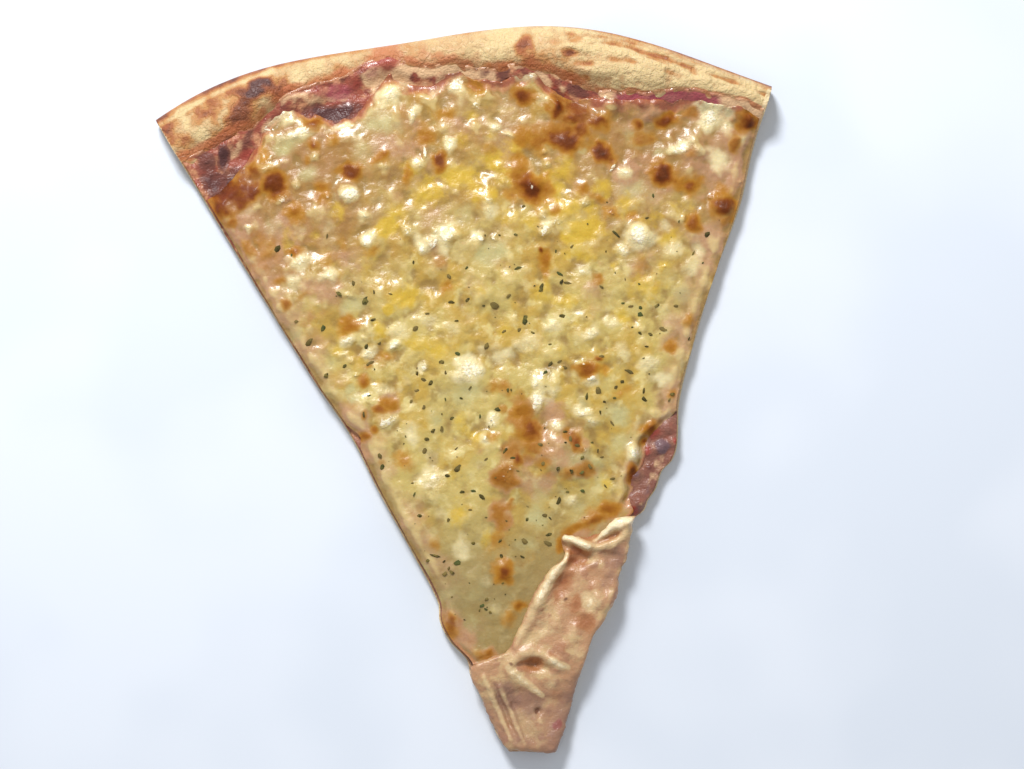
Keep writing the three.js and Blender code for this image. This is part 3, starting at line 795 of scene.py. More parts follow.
def sauce_material(colour):
    """Tomato sauce baked dry at its edge: deep red pulp, sticky, with oil in the hollows."""
    material, tree, place = start_material("baked_tomato_sauce")
    p = Painter(tree, place, colour)
    p.lay("c28862", p.noise(5), 0.46, 0.62, 0.95)
    p.lay("7a3f33", p.noise(3.4), 0.5, 0.68, 0.85)
    dry = p.painted("dry", 0.6, 3)
    p.lay("80584a", dry, 0.3, 1.3, 0.95)
    p.lay("e0b98d", p.painted("cheesy", 1.1, 2.4), 0.4, 1.0, 0.9)
    p.lay("9c4451", p.painted("wine", 0.6, 3), 0.25, 0.9, 0.85)
    p.lay("6e555c", p.painted("grey", 0.4, 3), 0.25, 0.8, 0.9)
    p.lay("983d30", p.painted("red", 0.5, 2.4), 0.25, 0.8, 0.9)
    burnt = p.painted("burnt", 0.6, 2.4)
    p.lay("6b3b31", burnt, 0.25, 0.65, 0.9)
    p.lay("4d2a2a", burnt, 0.7, 1.05, 0.9)
    p.lay("b07a54", p.painted("rubbed", 0.6, 2.4), 0.4, 0.95, 0.8)
    normal = p.bump((p.noise(2.4), 0.6), (p.noise(0.6), 0.15))
    surface = add_node(tree, "ShaderNodeBsdfPrincipled", {
        "Base Color": p.colour, "Roughness": p.between(p.noise(2.4), 0.35, 0.65, 0.25, 0.5),
        "Normal": normal, "IOR": 1.42, "Coat Weight": p.between(dry, 0.2, 0.9, 0.3, 0.1),
        "Coat Roughness": 0.12,
    })
    finish_material(tree, surface)
    return material


def cheese_material(colour):
    """Melted mozzarella: fatty and half clear, gold where oil has run out, blistered brown."""
    material, tree, place = start_material("melted_mozzarella")
    p = Painter(tree, place, colour)
    p.lay("ba963a", p.noise(12), 0.44, 0.6, 0.8)
    p.lay("92793e", p.noise(7), 0.52, 0.68, 0.7)
    p.lay("d4c281", p.noise(5), 0.52, 0.66, 0.8)
    p.lay("937e4f", p.painted("shaded", 0.3, 9), 0.1, 1.0, 0.85)
    p.lay("986b38", p.painted("toasted", 1.3, 9), 0.1, 1.2, 0.85)
    p.lay("b68a6c", p.painted("blush", 1.6, 8), 0.2, 1.0, 0.75)
    # Painted shade: darker olive in the cheese's hollows, where oil also pools
    p.lay("8f7038", p.painted("hollow", 0.4, 5), 0.12, 0.9, 0.8)
    p.lay("dac588", p.painted("raised", 0.4, 5), 0.15, 0.9, 0.5)
    edge = p.painted("edge", 0.9, 3)
    p.lay("b98259", edge, 0.3, 0.8, 0.9)
    p.lay("96523a", edge, 0.8, 1.15, 0.9)
    p.lay("b9b07a", p.painted("calm", 0.5, 5), 0.15, 0.9, 0.85)
    p.lay("caa72e", p.painted("golden", 1.1, 2.6), 0.15, 1.0, 0.85)
    p.lay("e4d5a4", p.painted("cream", 0.7, 3), 0.2, 1.0, 0.9)
    p.lay("b78a66", p.painted("thin", 0.7, 3), 0.1, 0.6, 0.8)
    p.lay("84492f", p.painted("thin", 0.9, 2.4), 0.6, 1.15, 0.85)
    p.lay("b37d1a", p.painted("amber", 0.9, 2.8), 0.1, 0.85, 0.85)
    p.lay("84470c", p.painted("amber", 0.6, 2.8), 0.7, 1.25, 0.9)
    brown = p.painted("brown", 0.35, 3)
    p.lay("a5701e", brown, 0.08, 0.55, 0.8)
    p.lay("894d14", brown, 0.42, 0.9, 0.92)
    p.lay("68300f", brown, 0.74, 1.04, 0.92)
    p.lay("42200f", brown, 0.98, 1.2, 0.85)
    p.lay("6f3524", p.painted("rusty", 0.9, 3), 0.2, 1.1, 0.72)
    # Painted glints: near-white specks laid into the colour on the wet bumps, with finer wrinkles there
    p.lay("f7efd6", p.painted("painted_glints", 1.8, 0.9), 0.75, 1.1, 0.9)
    wrinkled = p.maths("MULTIPLY", p.noise(0.9), p.maths("ADD", p.painted("painted_glints"), 0.25))
    normal = p.bump((p.noise(3), 0.3), (wrinkled, 0.45))
    surface = add_node(tree, "ShaderNodeBsdfPrincipled", {
        "Base Color": p.colour, "Roughness": p.between(brown, 0.2, 0.8, 0.34, 0.5),
        "Specular IOR Level": p.between(brown, 0.1, 0.7, 0.5, 0.15),
        "Normal": normal, "IOR": 1.45, "Subsurface Weight": 0.2, "Subsurface Scale": 2 * MM,
        "Subsurface Radius": (1.0, 0.7, 0.35), "Coat Weight": p.between(brown, 0.1, 0.6, 0.25, 0.04),
        "Coat Roughness": 0.12,
    })
    finish_material(tree, surface)
    return material


def herb_material(colour):
    """Dried oregano soaked in oil: brittle brown-green leaf scraps with a dull sheen."""
    material, tree, place = start_material("dried_oregano")
    p = Painter(tree, place, colour)
    p.lay("736532", p.noise(2.5, 2), 0.45, 0.6)
    p.lay("38321a", p.noise(1.2, 2), 0.5, 0.65)
    shade = p.painted("shade")
    p.lay("7d6a3c", shade, 0.45, 1.0, 0.7)
    p.lay("4a5a30", shade, 0.3, 0.0, 0.6)
    surface = add_node(tree, "ShaderNodeBsdfPrincipled", {
        "Base Color": p.colour, "Roughness": 0.75, "Normal": p.bump((p.noise(0.4, 2), 0.08)),
        "IOR": 1.45, "Specular IOR Level": 0.2,
    })
    finish_material(tree, surface)
    return material


# ---- Where the slice is browned, stained and oily, and where glints are painted ----------------
# Each place is (x, y, radius, strength), and for an oval also its stretch and its turn in degrees.

# Blisters and patches of browned cheese.
BROWNED = [
    (-62.7, 189.5, 4.2, 0.95, 1.2, 10), (-78, 191, 5.5, 1, 1.3, -50), (-71, 188.5, 4, 0.7),
    (-75.3, 179.6, 2.4, 0.8), (-68, 173, 3, 0.4, 2.2, -60), (-56.3, 179.7, 3.2, 0.65, 1.1, 60),
    (-58, 168.4, 1.5, 0.75, 2.2, -5), (-66.6, 165, 2.2, 0.35), (-63.5, 161, 1.4, 0.5, 1.8, 10),
    (-38.7, 189.6, 2.7, 0.95, 1.35, -15), (-42, 199.7, 2.2, 0.55, 1.1, 0),
    (-48.8, 198.3, 1.9, 0.85), (-51.4, 195.3, 1.8, 0.5), (-47.2, 186.7, 2.4, 0.65),
    (-49.3, 183.4, 2.2, 0.55), (-28.5, 193, 1.7, 0.65, 2, 25), (-22.5, 186.5, 1.4, 0.6, 2.3, 80),
    (-12.6, 189.6, 1.9, 0.9, 1.5, 70), (-15, 198.5, 2.6, 0.55, 1.3, 60), (-22, 206, 3, 0.25),
    (-7.6, 203.8, 2.4, 0.55, 1.6, 15), (-17, 210, 2.2, 0.35), (1.5, 211, 2.6, 0.55, 1.5, -50),
    (14.8, 206.5, 2.8, 0.95, 1.25, 0), (24.8, 201.6, 3.4, 1.1, 1.1, 90), (27.8, 197.8, 2.6, 0.9),
    (36.3, 195.8, 2.8, 0.95, 1.3, 0), (24.5, 191.4, 3.6, 0.95, 2, -6), (17.6, 192, 3, 0.65),
    (30.6, 193.4, 3, 0.8), (13, 194, 3, 0.5), (11.3, 185.6, 3.4, 0.5),
    (35.9, 185.9, 3.8, 1.02, 1.1, 0), (48.3, 189.2, 3, 0.6, 1.3, 10), (47.7, 193.7, 1.6, 0.8),
    (56.3, 193.5, 2.4, 0.95, 1.6, 0), (62.6, 195, 2, 0.5, 1.8, -10), (52, 182, 2.4, 0.5),
    (53.5, 177.5, 3.4, 0.98, 1.3, 5), (60.8, 173.9, 3, 0.85, 1.3, 0),
    (69, 165.2, 3.7, 1.0, 1.15, -20), (69.8, 170, 3.2, 0.5), (60, 162.6, 2.4, 0.8, 1.15, 80),
    (79.6, 191, 2.8, 1.0, 1.2, 85), (82.6, 193.8, 1.1, 0.95), (75.2, 184.4, 1.9, 0.7, 1.5, 80),
    (62, 183, 1.8, 0.5, 1.8, -10), (29.2, 177.2, 2, 0.6), (33.3, 173.2, 1.2, 0.45, 2, -20),
    (42.9, 153.8, 2.2, 0.35, 1.6, 75), (30.4, 149.6, 1.8, 0.65), (14.8, 156.6, 2, 0.55, 1.8, 85),
    (14.3, 160.3, 0.8, 0.9), (13.4, 179.6, 4.4, 0.98), (2.6, 192.4, 2.6, 0.35),
    (19.5, 170.8, 1.7, 0.5), (-15, 153, 2.4, 0.45), (-15.8, 160, 2, 0.4, 1.3, 80),
    (-43.9, 144.6, 2, 0.6, 1.7, 5), (-62, 154, 1.8, 0.45), (-57, 155, 1.5, 0.4, 1.8, 20),
    (-58, 147, 2, 0.35), (-68, 166, 3.5, 0.25, 1.3, 60), (-34.6, 134.2, 2.2, 0.4, 1.5, 10),
    (-39.5, 132.9, 1.2, 0.55, 1.4, 30), (-42.2, 127.6, 2.6, 0.7, 1, 0), (-39.1, 119, 1.6, 0.8),
    (-36, 120.6, 1.5, 0.55, 2.4, -8), (-43.5, 117.6, 1.1, 0.6, 1.6, 80), (-40.7, 113.2, 1.9, 0.7),
    (-43.9, 111.5, 2, 0.7), (-39.8, 103, 1.5, 0.35), (-32.6, 103, 2, 0.3),
    (23.2, 123.2, 2, 0.75, 1.9, -5), (27, 126.2, 1.1, 0.85, 1.4, -20), (49.3, 126.8, 2, 0.55),
    (54.6, 134, 2, 0.4), (47, 112.6, 1.7, 0.55), (33.6, 116, 2, 0.35, 1.6, 0),
    (-3, 121.4, 2.6, 0.5, 1.3, 0), (3.4, 117.8, 1.1, 0.5, 2.4, 80), (-3, 114.8, 1.4, 0.5),
    (2.4, 112.6, 2, 0.6), (4.4, 107.6, 3, 0.85, 1.4, 65), (-0.2, 99.6, 1.5, 0.9, 2, 75),
    (17.5, 102.2, 2.2, 0.85, 1.3, 80), (18, 93.6, 2, 0.6, 1.5, 0), (10, 100, 3.4, 0.3),
    (20.8, 95, 1.2, 0.5), (-4.4, 94, 3.6, 0.6, 1.2, -15), (-6.2, 85.4, 2.8, 0.5, 1.4, 70),
    (-3.4, 88, 1.6, 0.6), (-7.8, 67.2, 2.8, 0.9), (-4.6, 57.2, 1.4, 0.65, 1.6, -10),
    (-8, 54, 2, 0.4, 1.6, 80), (9.2, 73.4, 1.6, 0.7, 1.7, 80), (14.6, 78.2, 1.3, 0.6, 2.4, 22),
    (24, 81.8, 1.6, 0.7, 1.8, -10), (-9, 76.8, 2, 0.35), (-28, 78, 2.4, 0.35),
    (-15.8, 44.6, 2, 0.6, 1.4, 0), (33.6, 91.2, 2, 0.9, 1.4, 80), (40, 103.6, 2.6, 0.7, 1.2, 80),
    (37.4, 100.2, 1.6, 0.9), (33, 79, 2, 0.8), (2.8, 114, 3, 0.45, 1.6, 85), (-10.8, 201.6, 3, 0.3),
    (-70.5, 190, 4.4, 0.8, 1.3, -30), (-73.6, 187, 4, 0.9), (-67.5, 194, 3.6, 0.85),
    (-76.5, 183, 3.6, 0.9, 1.5, -55), (-67, 188.6, 4, 1.0), (-48, 206.4, 2.6, 0.8, 1.4, 0),
    (4, 102, 3, 0.6, 1.3, 30), (-62.2, 153.4, 1.8, 0.7), (-71.6, 171.6, 2.2, 0.6, 1.5, -60),
    (-4.2, 86.4, 2.6, 0.55), (-24.9, 55.8, 1.8, 0.7, 1.5, -65), (-65.5, 169.5, 4, 0.5, 1.4, 60),
    (-39.5, 116, 3, 0.35), (-26.5, 52.5, 3, 0.6, 1.5, -65), (-18, 43.8, 3, 0.6, 1.6, -45),
    (3.6, 109, 4.6, 0.6, 1.3, 80), (-0.6, 102.4, 3.4, 0.55, 1.4, 60), (-3.6, 95.6, 4, 0.5),
    (14, 99, 8.5, 0.16, 1.2, -20), (7.2, 96.7, 2.4, 0.55, 1.4, 20), (13.9, 93.6, 2.6, 0.6, 1.5, 0),
    (20, 94.6, 2, 0.6), (15.9, 104.5, 2, 0.7, 1.4, -50), (-6.8, 84.8, 3.8, 0.5, 1.3, 80),
    (28.6, 201.8, 5, 0.7, 1.3, -50), (23.8, 192.4, 5, 0.65, 1.7, -5), (19.5, 79, 2.2, 0.7, 2.6, 18),
    (26, 81.5, 1.8, 0.55, 1.6, 0), (12.6, 77.2, 1.8, 0.55, 2, 30),
]
# Where oil has carried colour out of the sauce and the browned cheese.
AMBER = [
    (13.2, 179.3, 6.6, 1.7, 1.05, 0), (7.6, 177.5, 3.6, 0.9), (11.3, 186, 4.6, 0.7),
    (13, 194, 3.8, 0.7), (18, 189.5, 3.4, 0.6), (20, 193, 5, 0.5, 1.6, 0),
    (-43.9, 144.4, 3.4, 1.0, 1.6, 4), (-34.6, 134.1, 3, 0.8, 1.4, 10), (-42.2, 127.7, 3.2, 0.95),
    (-36, 120.4, 2.4, 0.8, 2, -8), (-33.8, 103.4, 4, 0.8), (-6.1, 107.6, 2.8, 0.9),
    (2, 112.6, 3.2, 0.9), (3, 106.5, 4.2, 0.8, 1.3, 70), (-15, 153, 3.2, 0.75),
    (14.8, 156.4, 2.5, 1.0, 1.8, 85), (24, 123.2, 2.6, 1.1, 1.9, -5), (28.4, 122.8, 2.4, 0.8),
    (49.3, 126.8, 3.2, 0.8), (54.6, 134, 2.8, 0.55), (-7.8, 67.2, 3.8, 1.1),
    (-4.4, 57, 2.6, 0.6, 1.5, 0), (-8, 54, 2.6, 0.7, 1.6, 80), (-9, 76.6, 3.8, 0.6, 1.2, 80),
    (-28, 78, 3.4, 0.5, 1.1, 80), (36.4, 168.5, 3, 0.95), (42.5, 166.9, 1.8, 0.9, 1.8, 5),
    (29.2, 177.2, 2.6, 0.75), (33.4, 173.2, 1.6, 0.7, 2, -20), (60.2, 162.8, 3.4, 0.9),
    (60.8, 174, 4.6, 0.6, 1.2, 0), (53.4, 178, 5, 0.5, 1.2, 0), (69.8, 170, 4, 0.6),
    (36, 186, 4.8, 0.4), (24, 81.8, 3, 1.1, 1.7, -12), (15, 78, 2, 1.0, 2.6, 24),
    (9.2, 73.4, 2.6, 1.0, 1.6, 80), (-57.8, 168.4, 2, 0.8, 2, -5), (-56.3, 179.7, 3.8, 0.8),
    (-47.6, 185, 3.4, 0.7, 1.2, 70), (-43.6, 169.4, 2.8, 0.55), (-50, 165, 3.2, 0.45, 1.6, 0),
    (-34.8, 166.2, 2, 0.8, 1.7, 15), (-28.5, 192.8, 2.6, 0.7, 1.6, 20),
    (-22.5, 186.8, 2, 0.85, 2, 80), (-12.6, 189.8, 3, 0.6, 1.3, 70), (-7.6, 203.6, 3, 0.8, 1.5, 15),
    (-15, 198, 3.4, 0.5), (-42, 199.6, 2.8, 0.5), (-38.7, 189.6, 3.8, 0.5, 1.2, 0),
    (-62, 190, 5.4, 0.5), (56.3, 193.6, 3.4, 0.5), (26, 192, 5.6, 0.5, 1.7, -5),
    (-63.5, 198, 3, 0.6), (-8.8, 77.5, 2, 0.5), (20.5, 81, 4, 0.7, 1.6, 20), (1.5, 211, 3, 0.6),
    (-40.8, 113, 2.6, 0.5), (43, 153.6, 3.4, 0.35, 1.5, 75), (30.4, 149.6, 2.6, 0.5),
    (19.5, 170.8, 2.4, 0.6), (-1, 70, 3, 0.35), (33.6, 116, 3, 0.5, 1.5, 0),
    (-3, 121.4, 3.8, 0.4, 1.4, 0), (46, 104, 2.4, 0.9), (37, 104, 2.4, 0.8),
]
# Clear yellow oil lying in the cheese.
GOLDEN = [
    (-9.3, 183.8, 5, 1.0, 1.4, 10), (-16, 181, 6, 0.8, 1.4, -10), (-3, 181, 5, 0.7),
    (4, 187, 5.5, 0.8, 1, 0), (6, 183, 4.5, 0.8), (-30.4, 172.4, 2.8, 1.3, 1.7, 60),
    (-27, 176, 4, 0.7), (-43.5, 178.3, 3.4, 0.6), (-21, 188, 4.5, 0.6), (1, 178, 4, 0.7),
    (8, 170.5, 5, 0.7, 1.5, -20), (22, 172, 6, 0.8, 1.3, 0), (26, 164, 4, 1.2, 1.9, -4),
    (25, 157.5, 4.5, 0.9), (21, 178, 4.5, 0.8), (24, 183, 5, 0.7, 1.4, 0), (33, 164, 4, 0.6),
    (52, 158.5, 4.2, 0.7), (50.4, 151, 2.8, 1.0, 1.5, -5), (48, 165.5, 4, 0.7, 1.5, 0),
    (34.9, 152.8, 1.8, 0.9), (57, 168, 4, 0.5), (13, 146.5, 4.6, 0.6),
    (18.4, 144.6, 4, 0.9, 1.4, 0), (43, 145.5, 5, 0.6, 1.5, 5), (35.8, 137.2, 3, 0.9, 1.3, 0),
    (-26.5, 151, 4.4, 0.9, 1.6, -5), (-32.3, 147.5, 2.6, 1.1), (-36, 141.8, 2.6, 0.9, 1.3, 80),
    (-24, 136, 5, 0.8, 1.9, -12), (-15, 134, 4, 0.4), (-41, 133, 3, 0.5), (-48.5, 138, 3, 0.6),
    (-15.8, 112.2, 3.6, 0.8, 1.2, 60), (-12.4, 108, 3, 0.7), (-20, 97, 4, 0.5),
    (-19.4, 86, 4.4, 0.8, 1.3, 80), (-12, 79, 3.4, 0.6, 1.3, 80), (27.8, 122.6, 3, 0.8),
    (16, 130.4, 2.2, 0.6), (24.4, 89.6, 3, 0.8), (28, 86, 2.6, 0.5), (-3, 163, 3, 0.3),
    (22, 137, 2.4, 0.5), (0, 138, 4, 0.5), (-5, 150, 3, 0.6), (-13, 148, 3, 0.4),
    (-52, 173, 4, 0.5), (-60, 172, 4, 0.5), (-46, 161, 4, 0.35), (-39, 160, 5, 0.4),
    (-31, 159, 4, 0.3), (13, 119, 3, 0.5), (38, 155, 3, 0.3), (-8, 92, 3, 0.4), (5, 197, 3, 0.4),
    (-5, 196, 3, 0.5), (-2, 202, 3, 0.5), (9, 203, 3, 0.3), (10, 191, 4.4, 0.8),
    (19, 181, 4.4, 0.7, 1.3, 20), (35, 176.6, 4.4, 0.8), (40.4, 170, 4.4, 0.8), (30, 170, 4, 0.6),
    (-36, 166, 4, 0.5),
]
# Thick pale cheese.
CREAM = [
    (-57, 209, 4.4, 0.8, 1.2, 30), (-52, 203.5, 2.4, 1.0, 2.4, 12), (-39, 203.8, 2, 1.1, 3, 8),
    (-29, 204.5, 5, 0.5, 1.2, 0), (-35, 199, 4, 0.4), (-39.8, 183.6, 4, 1.0),
    (-36, 176.4, 3.4, 0.8, 1.3, 0), (-33, 181, 4, 0.4), (-71, 176.8, 2, 0.9),
    (-70, 181.5, 3, 0.5, 1.8, 10), (-56.5, 166, 4, 0.9, 1.4, 0), (-60, 160, 3.6, 0.9),
    (-49.7, 160, 3.6, 1.0, 1.2, 0), (-54, 153, 3, 0.5), (-36, 169.3, 2.6, 1.0, 1.4, 0),
    (-48, 173.5, 4, 0.5), (-55, 174.5, 2.6, 0.6), (-21, 166, 3.2, 1.0, 1.2, 0),
    (-14, 168, 3.6, 1.1, 1.7, 10), (-4, 167, 3, 0.9), (1, 174, 3.6, 0.9), (6, 166, 3, 0.6),
    (17, 167.4, 3, 1.0), (21, 166, 3, 0.6), (-25, 211, 4.6, 1.2), (-19.4, 214, 3, 0.7),
    (-11.5, 210.4, 3.6, 0.8), (-4, 211.5, 3.4, 0.8), (-18.2, 205, 1.6, 0.9, 2.6, 55),
    (-8.8, 195, 2.5, 1.0, 1.4, 80), (-18.4, 190, 2.4, 0.9), (5.4, 198.6, 3, 0.9, 1.3, -20),
    (9, 195.4, 1.6, 0.7, 2, -30), (16.6, 211.4, 2.6, 0.9, 1.6, 0), (20, 205, 2.6, 0.6),
    (-4, 206, 2.4, 0.5), (39, 203.4, 1.5, 0.9, 2, -60), (68.4, 193.6, 5.2, 1.4, 1.1, 30),
    (73, 190, 3, 0.8), (74, 196, 3, 0.7, 1.8, -20), (78, 186, 3, 0.5),
    (59.2, 185.4, 3.4, 1.2, 1.4, 0), (66, 183.6, 2.4, 0.7, 1.8, -15), (70, 179.8, 4.4, 0.9),
    (41.5, 180, 2.8, 0.9, 1.2, 0), (64, 190, 2.6, 0.5), (43.6, 160.4, 5.6, 1.4, 1.1, 0),
    (38.8, 157.6, 3, 0.9), (53, 155, 4, 0.8, 1.2, 0), (57.5, 150, 4, 0.8), (60, 156, 3, 0.5),
    (25.6, 152.2, 3, 0.9, 1.4, 0), (34, 146, 4, 0.4), (28.6, 171.6, 2, 0.6),
    (-11, 127.6, 4.6, 1.2, 1.3, 8), (-3, 133, 5, 0.5), (6, 132.5, 5, 0.7, 1.3, 0),
    (7.6, 122, 2, 1.0, 1.9, 80), (7.8, 116.4, 3, 1.1, 1.5, 85), (13, 117.6, 3.4, 0.9),
    (19.6, 111.4, 2.6, 1.1, 1.9, -22), (23, 107.4, 2.6, 0.9, 1.3, -40),
    (12.6, 108.2, 2.4, 0.8, 1.3, 0), (15, 137.4, 3.4, 0.8, 1.2, 0), (25.8, 133.6, 2.4, 1.0, 2, 22),
    (32, 135.6, 3.2, 0.8), (42.5, 122.8, 3, 0.8, 1.9, -10), (35, 128, 4, 0.6, 1.2, 80),
    (50, 121, 4, 0.5), (24, 119.6, 2.4, 0.9, 1.4, 0), (34.2, 97.4, 3, 1.1, 1.1, 0),
    (-36.8, 115, 3.4, 0.8, 1.4, 10), (-31, 111, 4.4, 0.9), (-26, 106, 4, 0.6),
    (-37.6, 124.8, 3, 0.8, 1.4, 0), (-32, 125, 3, 0.5), (-32.4, 137.6, 2.2, 1.0, 1.5, 0),
    (-30, 142, 4, 0.7), (-22, 144, 4, 0.6), (-45.9, 140.6, 2, 1.0, 1.5, 0),
    (-40.2, 136.4, 2.2, 0.9, 1.2, 20), (-46, 135, 2, 0.6), (-14, 140, 4, 0.5), (-9, 143, 4, 0.5),
    (-18, 128, 3, 0.4), (-24.6, 129.5, 1.8, 0.9, 1.4, 80), (-6.4, 112, 2.2, 1.0, 1.3, 80),
    (-9, 106.8, 2.2, 0.9), (-27, 96.4, 5, 0.7, 1.3, 80), (-24, 87, 4, 0.6),
    (-19, 76, 4.4, 0.8, 1.2, 80), (-14, 66, 3, 0.4), (13.8, 86, 2.8, 1.0, 1.2, 0), (19, 86, 3, 0.5),
    (-2, 97.4, 2, 0.5), (14, 92, 2, 0.4), (-11.5, 100, 3, 0.6), (4, 127, 4, 0.4),
    (45, 107, 2.6, 0.7), (-12, 58, 3, 0.5), (-11, 48, 4, 0.5), (-63.5, 206, 2, 0.5),
    (44.5, 118, 3.6, 0.8), (60.5, 154.5, 3.4, 0.7), (51.7, 162.8, 3, 0.8), (11.3, 115, 2.8, 0.8),
    (0, 130.4, 4.4, 0.8, 1.4, 0), (-13.8, 164.4, 3.4, 0.8), (74.5, 193.4, 2.6, 0.9),
    (-6.9, 133.6, 3, 0.7), (66, 195, 2.4, 0.8),
]
# Smooth cheese, greyer or greener than the rest.
CALM = [
    (-30, 203.6, 6, 0.7, 1.4, -8), (8, 203.8, 4.4, 0.5), (-34, 196, 5, 0.5, 1.4, 0),
    (-43, 151, 4.6, 0.8), (-46.8, 125.6, 3.4, 1.0), (-51, 134, 4, 0.5),
    (-2, 160.4, 4.4, 0.9, 1.5, 5), (-13, 120.6, 4.6, 0.8, 1.4, 0), (-22.4, 114, 3.6, 0.7),
    (-19, 121, 3, 0.5), (31.4, 107.6, 4.6, 1.0, 1.1, 0), (27, 97.4, 3, 0.5, 2, 80),
    (3, 82, 5.4, 0.8), (-33, 92, 4, 0.4), (-33, 71, 4.4, 0.6), (46, 118.4, 3.6, 0.6),
    (47, 189.4, 4.6, 0.7), (70, 184, 4, 0.4), (44.6, 174.6, 5, 0.7, 1.3, 0),
    (38, 90, 4, 0.7, 1.6, 60), (-27, 62, 4.4, 0.6), (30.6, 188.4, 2.4, 0.8),
    (15, 96.4, 7, 0.6, 1.2, -10), (30.4, 101.5, 5, 0.9), (54, 142, 4, 0.6), (-6.6, 173.4, 4, 0.6),
    (12, 196.6, 3, 0.3), (-61, 144, 4, 0.5), (-57, 200, 4, 0.8, 1.6, 10), (-31.9, 198, 4, 0.4),
    (-64, 176, 4, 0.5), (-52, 191, 4, 0.7, 1.4, 0), (0, 124, 4, 0.4), (-3, 131, 4, 0.3),
    (10, 141, 3, 0.3), (-17, 62, 4, 0.5), (-20, 54, 4, 0.4), (8, 90, 5, 0.5, 1.4, 0),
    (-1, 75.4, 4, 0.5), (20, 140, 3, 0.4), (40, 139, 3, 0.4), (49, 137, 3, 0.3), (33, 121, 3, 0.4),
    (-29, 132, 3, 0.3), (-7, 150.6, 3, 0.4), (23, 90.6, 4, 0.7), (11, 89, 4, 0.5),
    (-45.4, 123, 2.6, 0.7), (21, 113, 4, 0.5), (27, 111, 4, 0.6), (16, 83.4, 4.4, 0.6),
    (5, 88, 4, 0.6), (36, 111, 4, 0.5), (23, 96, 4, 0.6), (10, 92, 4, 0.5), (52.7, 185, 3, 0.6),
]
# Where the cheese is thin enough to look pinkish.
BLUSH = [
    (-60, 172, 9, 0.7, 1.3, -60), (-50, 156, 8, 0.7), (-43, 163, 7, 0.6), (-24, 197, 8, 0.5),
    (14, 190, 8, 0.4, 1.5, 0), (45, 178, 8, 0.5, 1.4, 0), (66, 178, 8, 0.6), (42, 152, 7, 0.6),
    (30, 178, 6, 0.4), (62, 158, 6, 0.6), (-47, 116, 6, 0.6), (-36, 120, 6, 0.5),
    (12, 105, 11, 0.7), (4, 92, 7, 0.6), (24, 118, 6, 0.3), (28, 146, 6, 0.4), (-14, 160, 6, 0.3),
    (48, 112, 7, 0.6), (-18, 174, 5, 0.2), (0, 200, 6, 0.3), (-40, 134, 5, 0.4), (52, 130, 7, 0.4),
    (-6, 152, 5, 0.3),
]
# Thin cheese with the sauce showing red through it.
THIN = [
    (-75.3, 179.6, 3, 1.0), (-43.9, 111.4, 3, 1.0), (-45, 107, 3, 0.6),
    (-36, 121, 3.4, 0.6, 1.7, -5), (-4.2, 94, 4.8, 1.05, 1.1, -20), (-6, 86, 4.2, 0.65, 1.3, 75),
    (5, 106, 4.2, 0.8, 1.3, 60), (3, 99, 3, 0.6), (12.8, 103.7, 3.4, 0.65),
    (11, 99, 7, 0.62, 1.15, -15), (19, 102.5, 3.6, 0.6), (17, 93.5, 4, 0.55, 1.4, 0),
    (8, 92.4, 3.6, 0.45), (13.2, 111, 2.6, 0.7, 1.4, 0), (40.4, 103.4, 3.6, 1.1, 1.1, 80),
    (44.6, 103.6, 2.4, 0.7), (47, 113, 3.2, 0.45), (44.8, 107.2, 2.6, 0.4),
    (33.8, 91.4, 3, 1.0, 1.3, 80), (33, 83, 4, 0.8), (24, 81, 3, 0.7, 1.5, -12),
    (15, 76, 3, 0.7, 1.8, 22), (-25.4, 54.4, 3.1, 1.25), (-22, 48.6, 3.4, 0.8, 1.8, -42),
    (-15.8, 44.4, 3.2, 0.95, 1.2, 0), (-28, 57, 3, 0.5, 1.6, -70), (-16, 161, 2.5, 0.3),
    (-8.5, 164, 2, 0.4), (3, 157, 4.5, 0.25), (32, 153, 2.5, 0.3), (27, 146, 3.5, 0.35),
    (-26, 182, 2.5, 0.35), (-55.6, 155, 3, 0.4, 1.6, 20), (-61, 153.6, 2.4, 0.4),
    (-68, 167, 4, 0.4, 1.5, 62), (-58, 147, 2.6, 0.35), (62, 183, 2.4, 0.8, 1.6, -12),
    (67, 172, 3.6, 0.45), (74, 173, 3, 0.35), (63.4, 194.6, 2.8, 0.75, 1.5, -5),
    (25, 196, 3.6, 0.7), (31, 200.6, 3.6, 0.85), (36, 198.6, 2.6, 0.5), (47, 193.4, 3, 0.5),
    (51, 195.6, 3, 0.6, 1.6, 0), (20, 197, 4, 0.4), (-15, 198, 3.5, 0.25), (-78, 190, 6, 0.7),
    (-70, 194.6, 3.2, 1.1, 1.4, 75), (-10.6, 103, 3, 0.3), (13.4, 98.6, 9, 0.3, 1.2, -20),
    (29, 201, 6, 1.2, 1.3, -50), (-70, 190.5, 6, 1.2, 1.2, 0), (2.8, 111, 4, 0.7, 1.8, 85),
    (-1, 102, 4, 0.7, 1.4, 60), (20, 80, 2.6, 0.8, 2.4, 18), (12.7, 112.4, 4, 0.6, 1.4, 0),
    (-6.8, 84.8, 4, 1.2, 1.2, 80), (-33, 84, 3, 0.15), (58, 132, 3, 0.3), (64, 150, 3, 0.3),
    (74, 186, 2.6, 0.3), (21, 186, 2, 0.2),
]
# Browned cheese that the sauce has reddened.
RUSTY = [
    (29.4, 201.4, 4.6, 1.0, 1.3, -40), (34, 198, 3, 0.7), (42.4, 198.4, 3.4, 0.8),
    (24.6, 203.6, 3, 0.7), (-69, 191, 6, 0.95), (-75, 186, 4.4, 0.9, 1.3, -60),
    (-71.5, 195, 3.4, 0.9), (51, 194, 3, 0.4), (3, 100, 4, 0.35), (40, 103, 2.4, 0.4),
    (-25.2, 55, 2.8, 0.8), (17, 102, 2.4, 0.4), (63.4, 194.6, 2, 0.4),
]
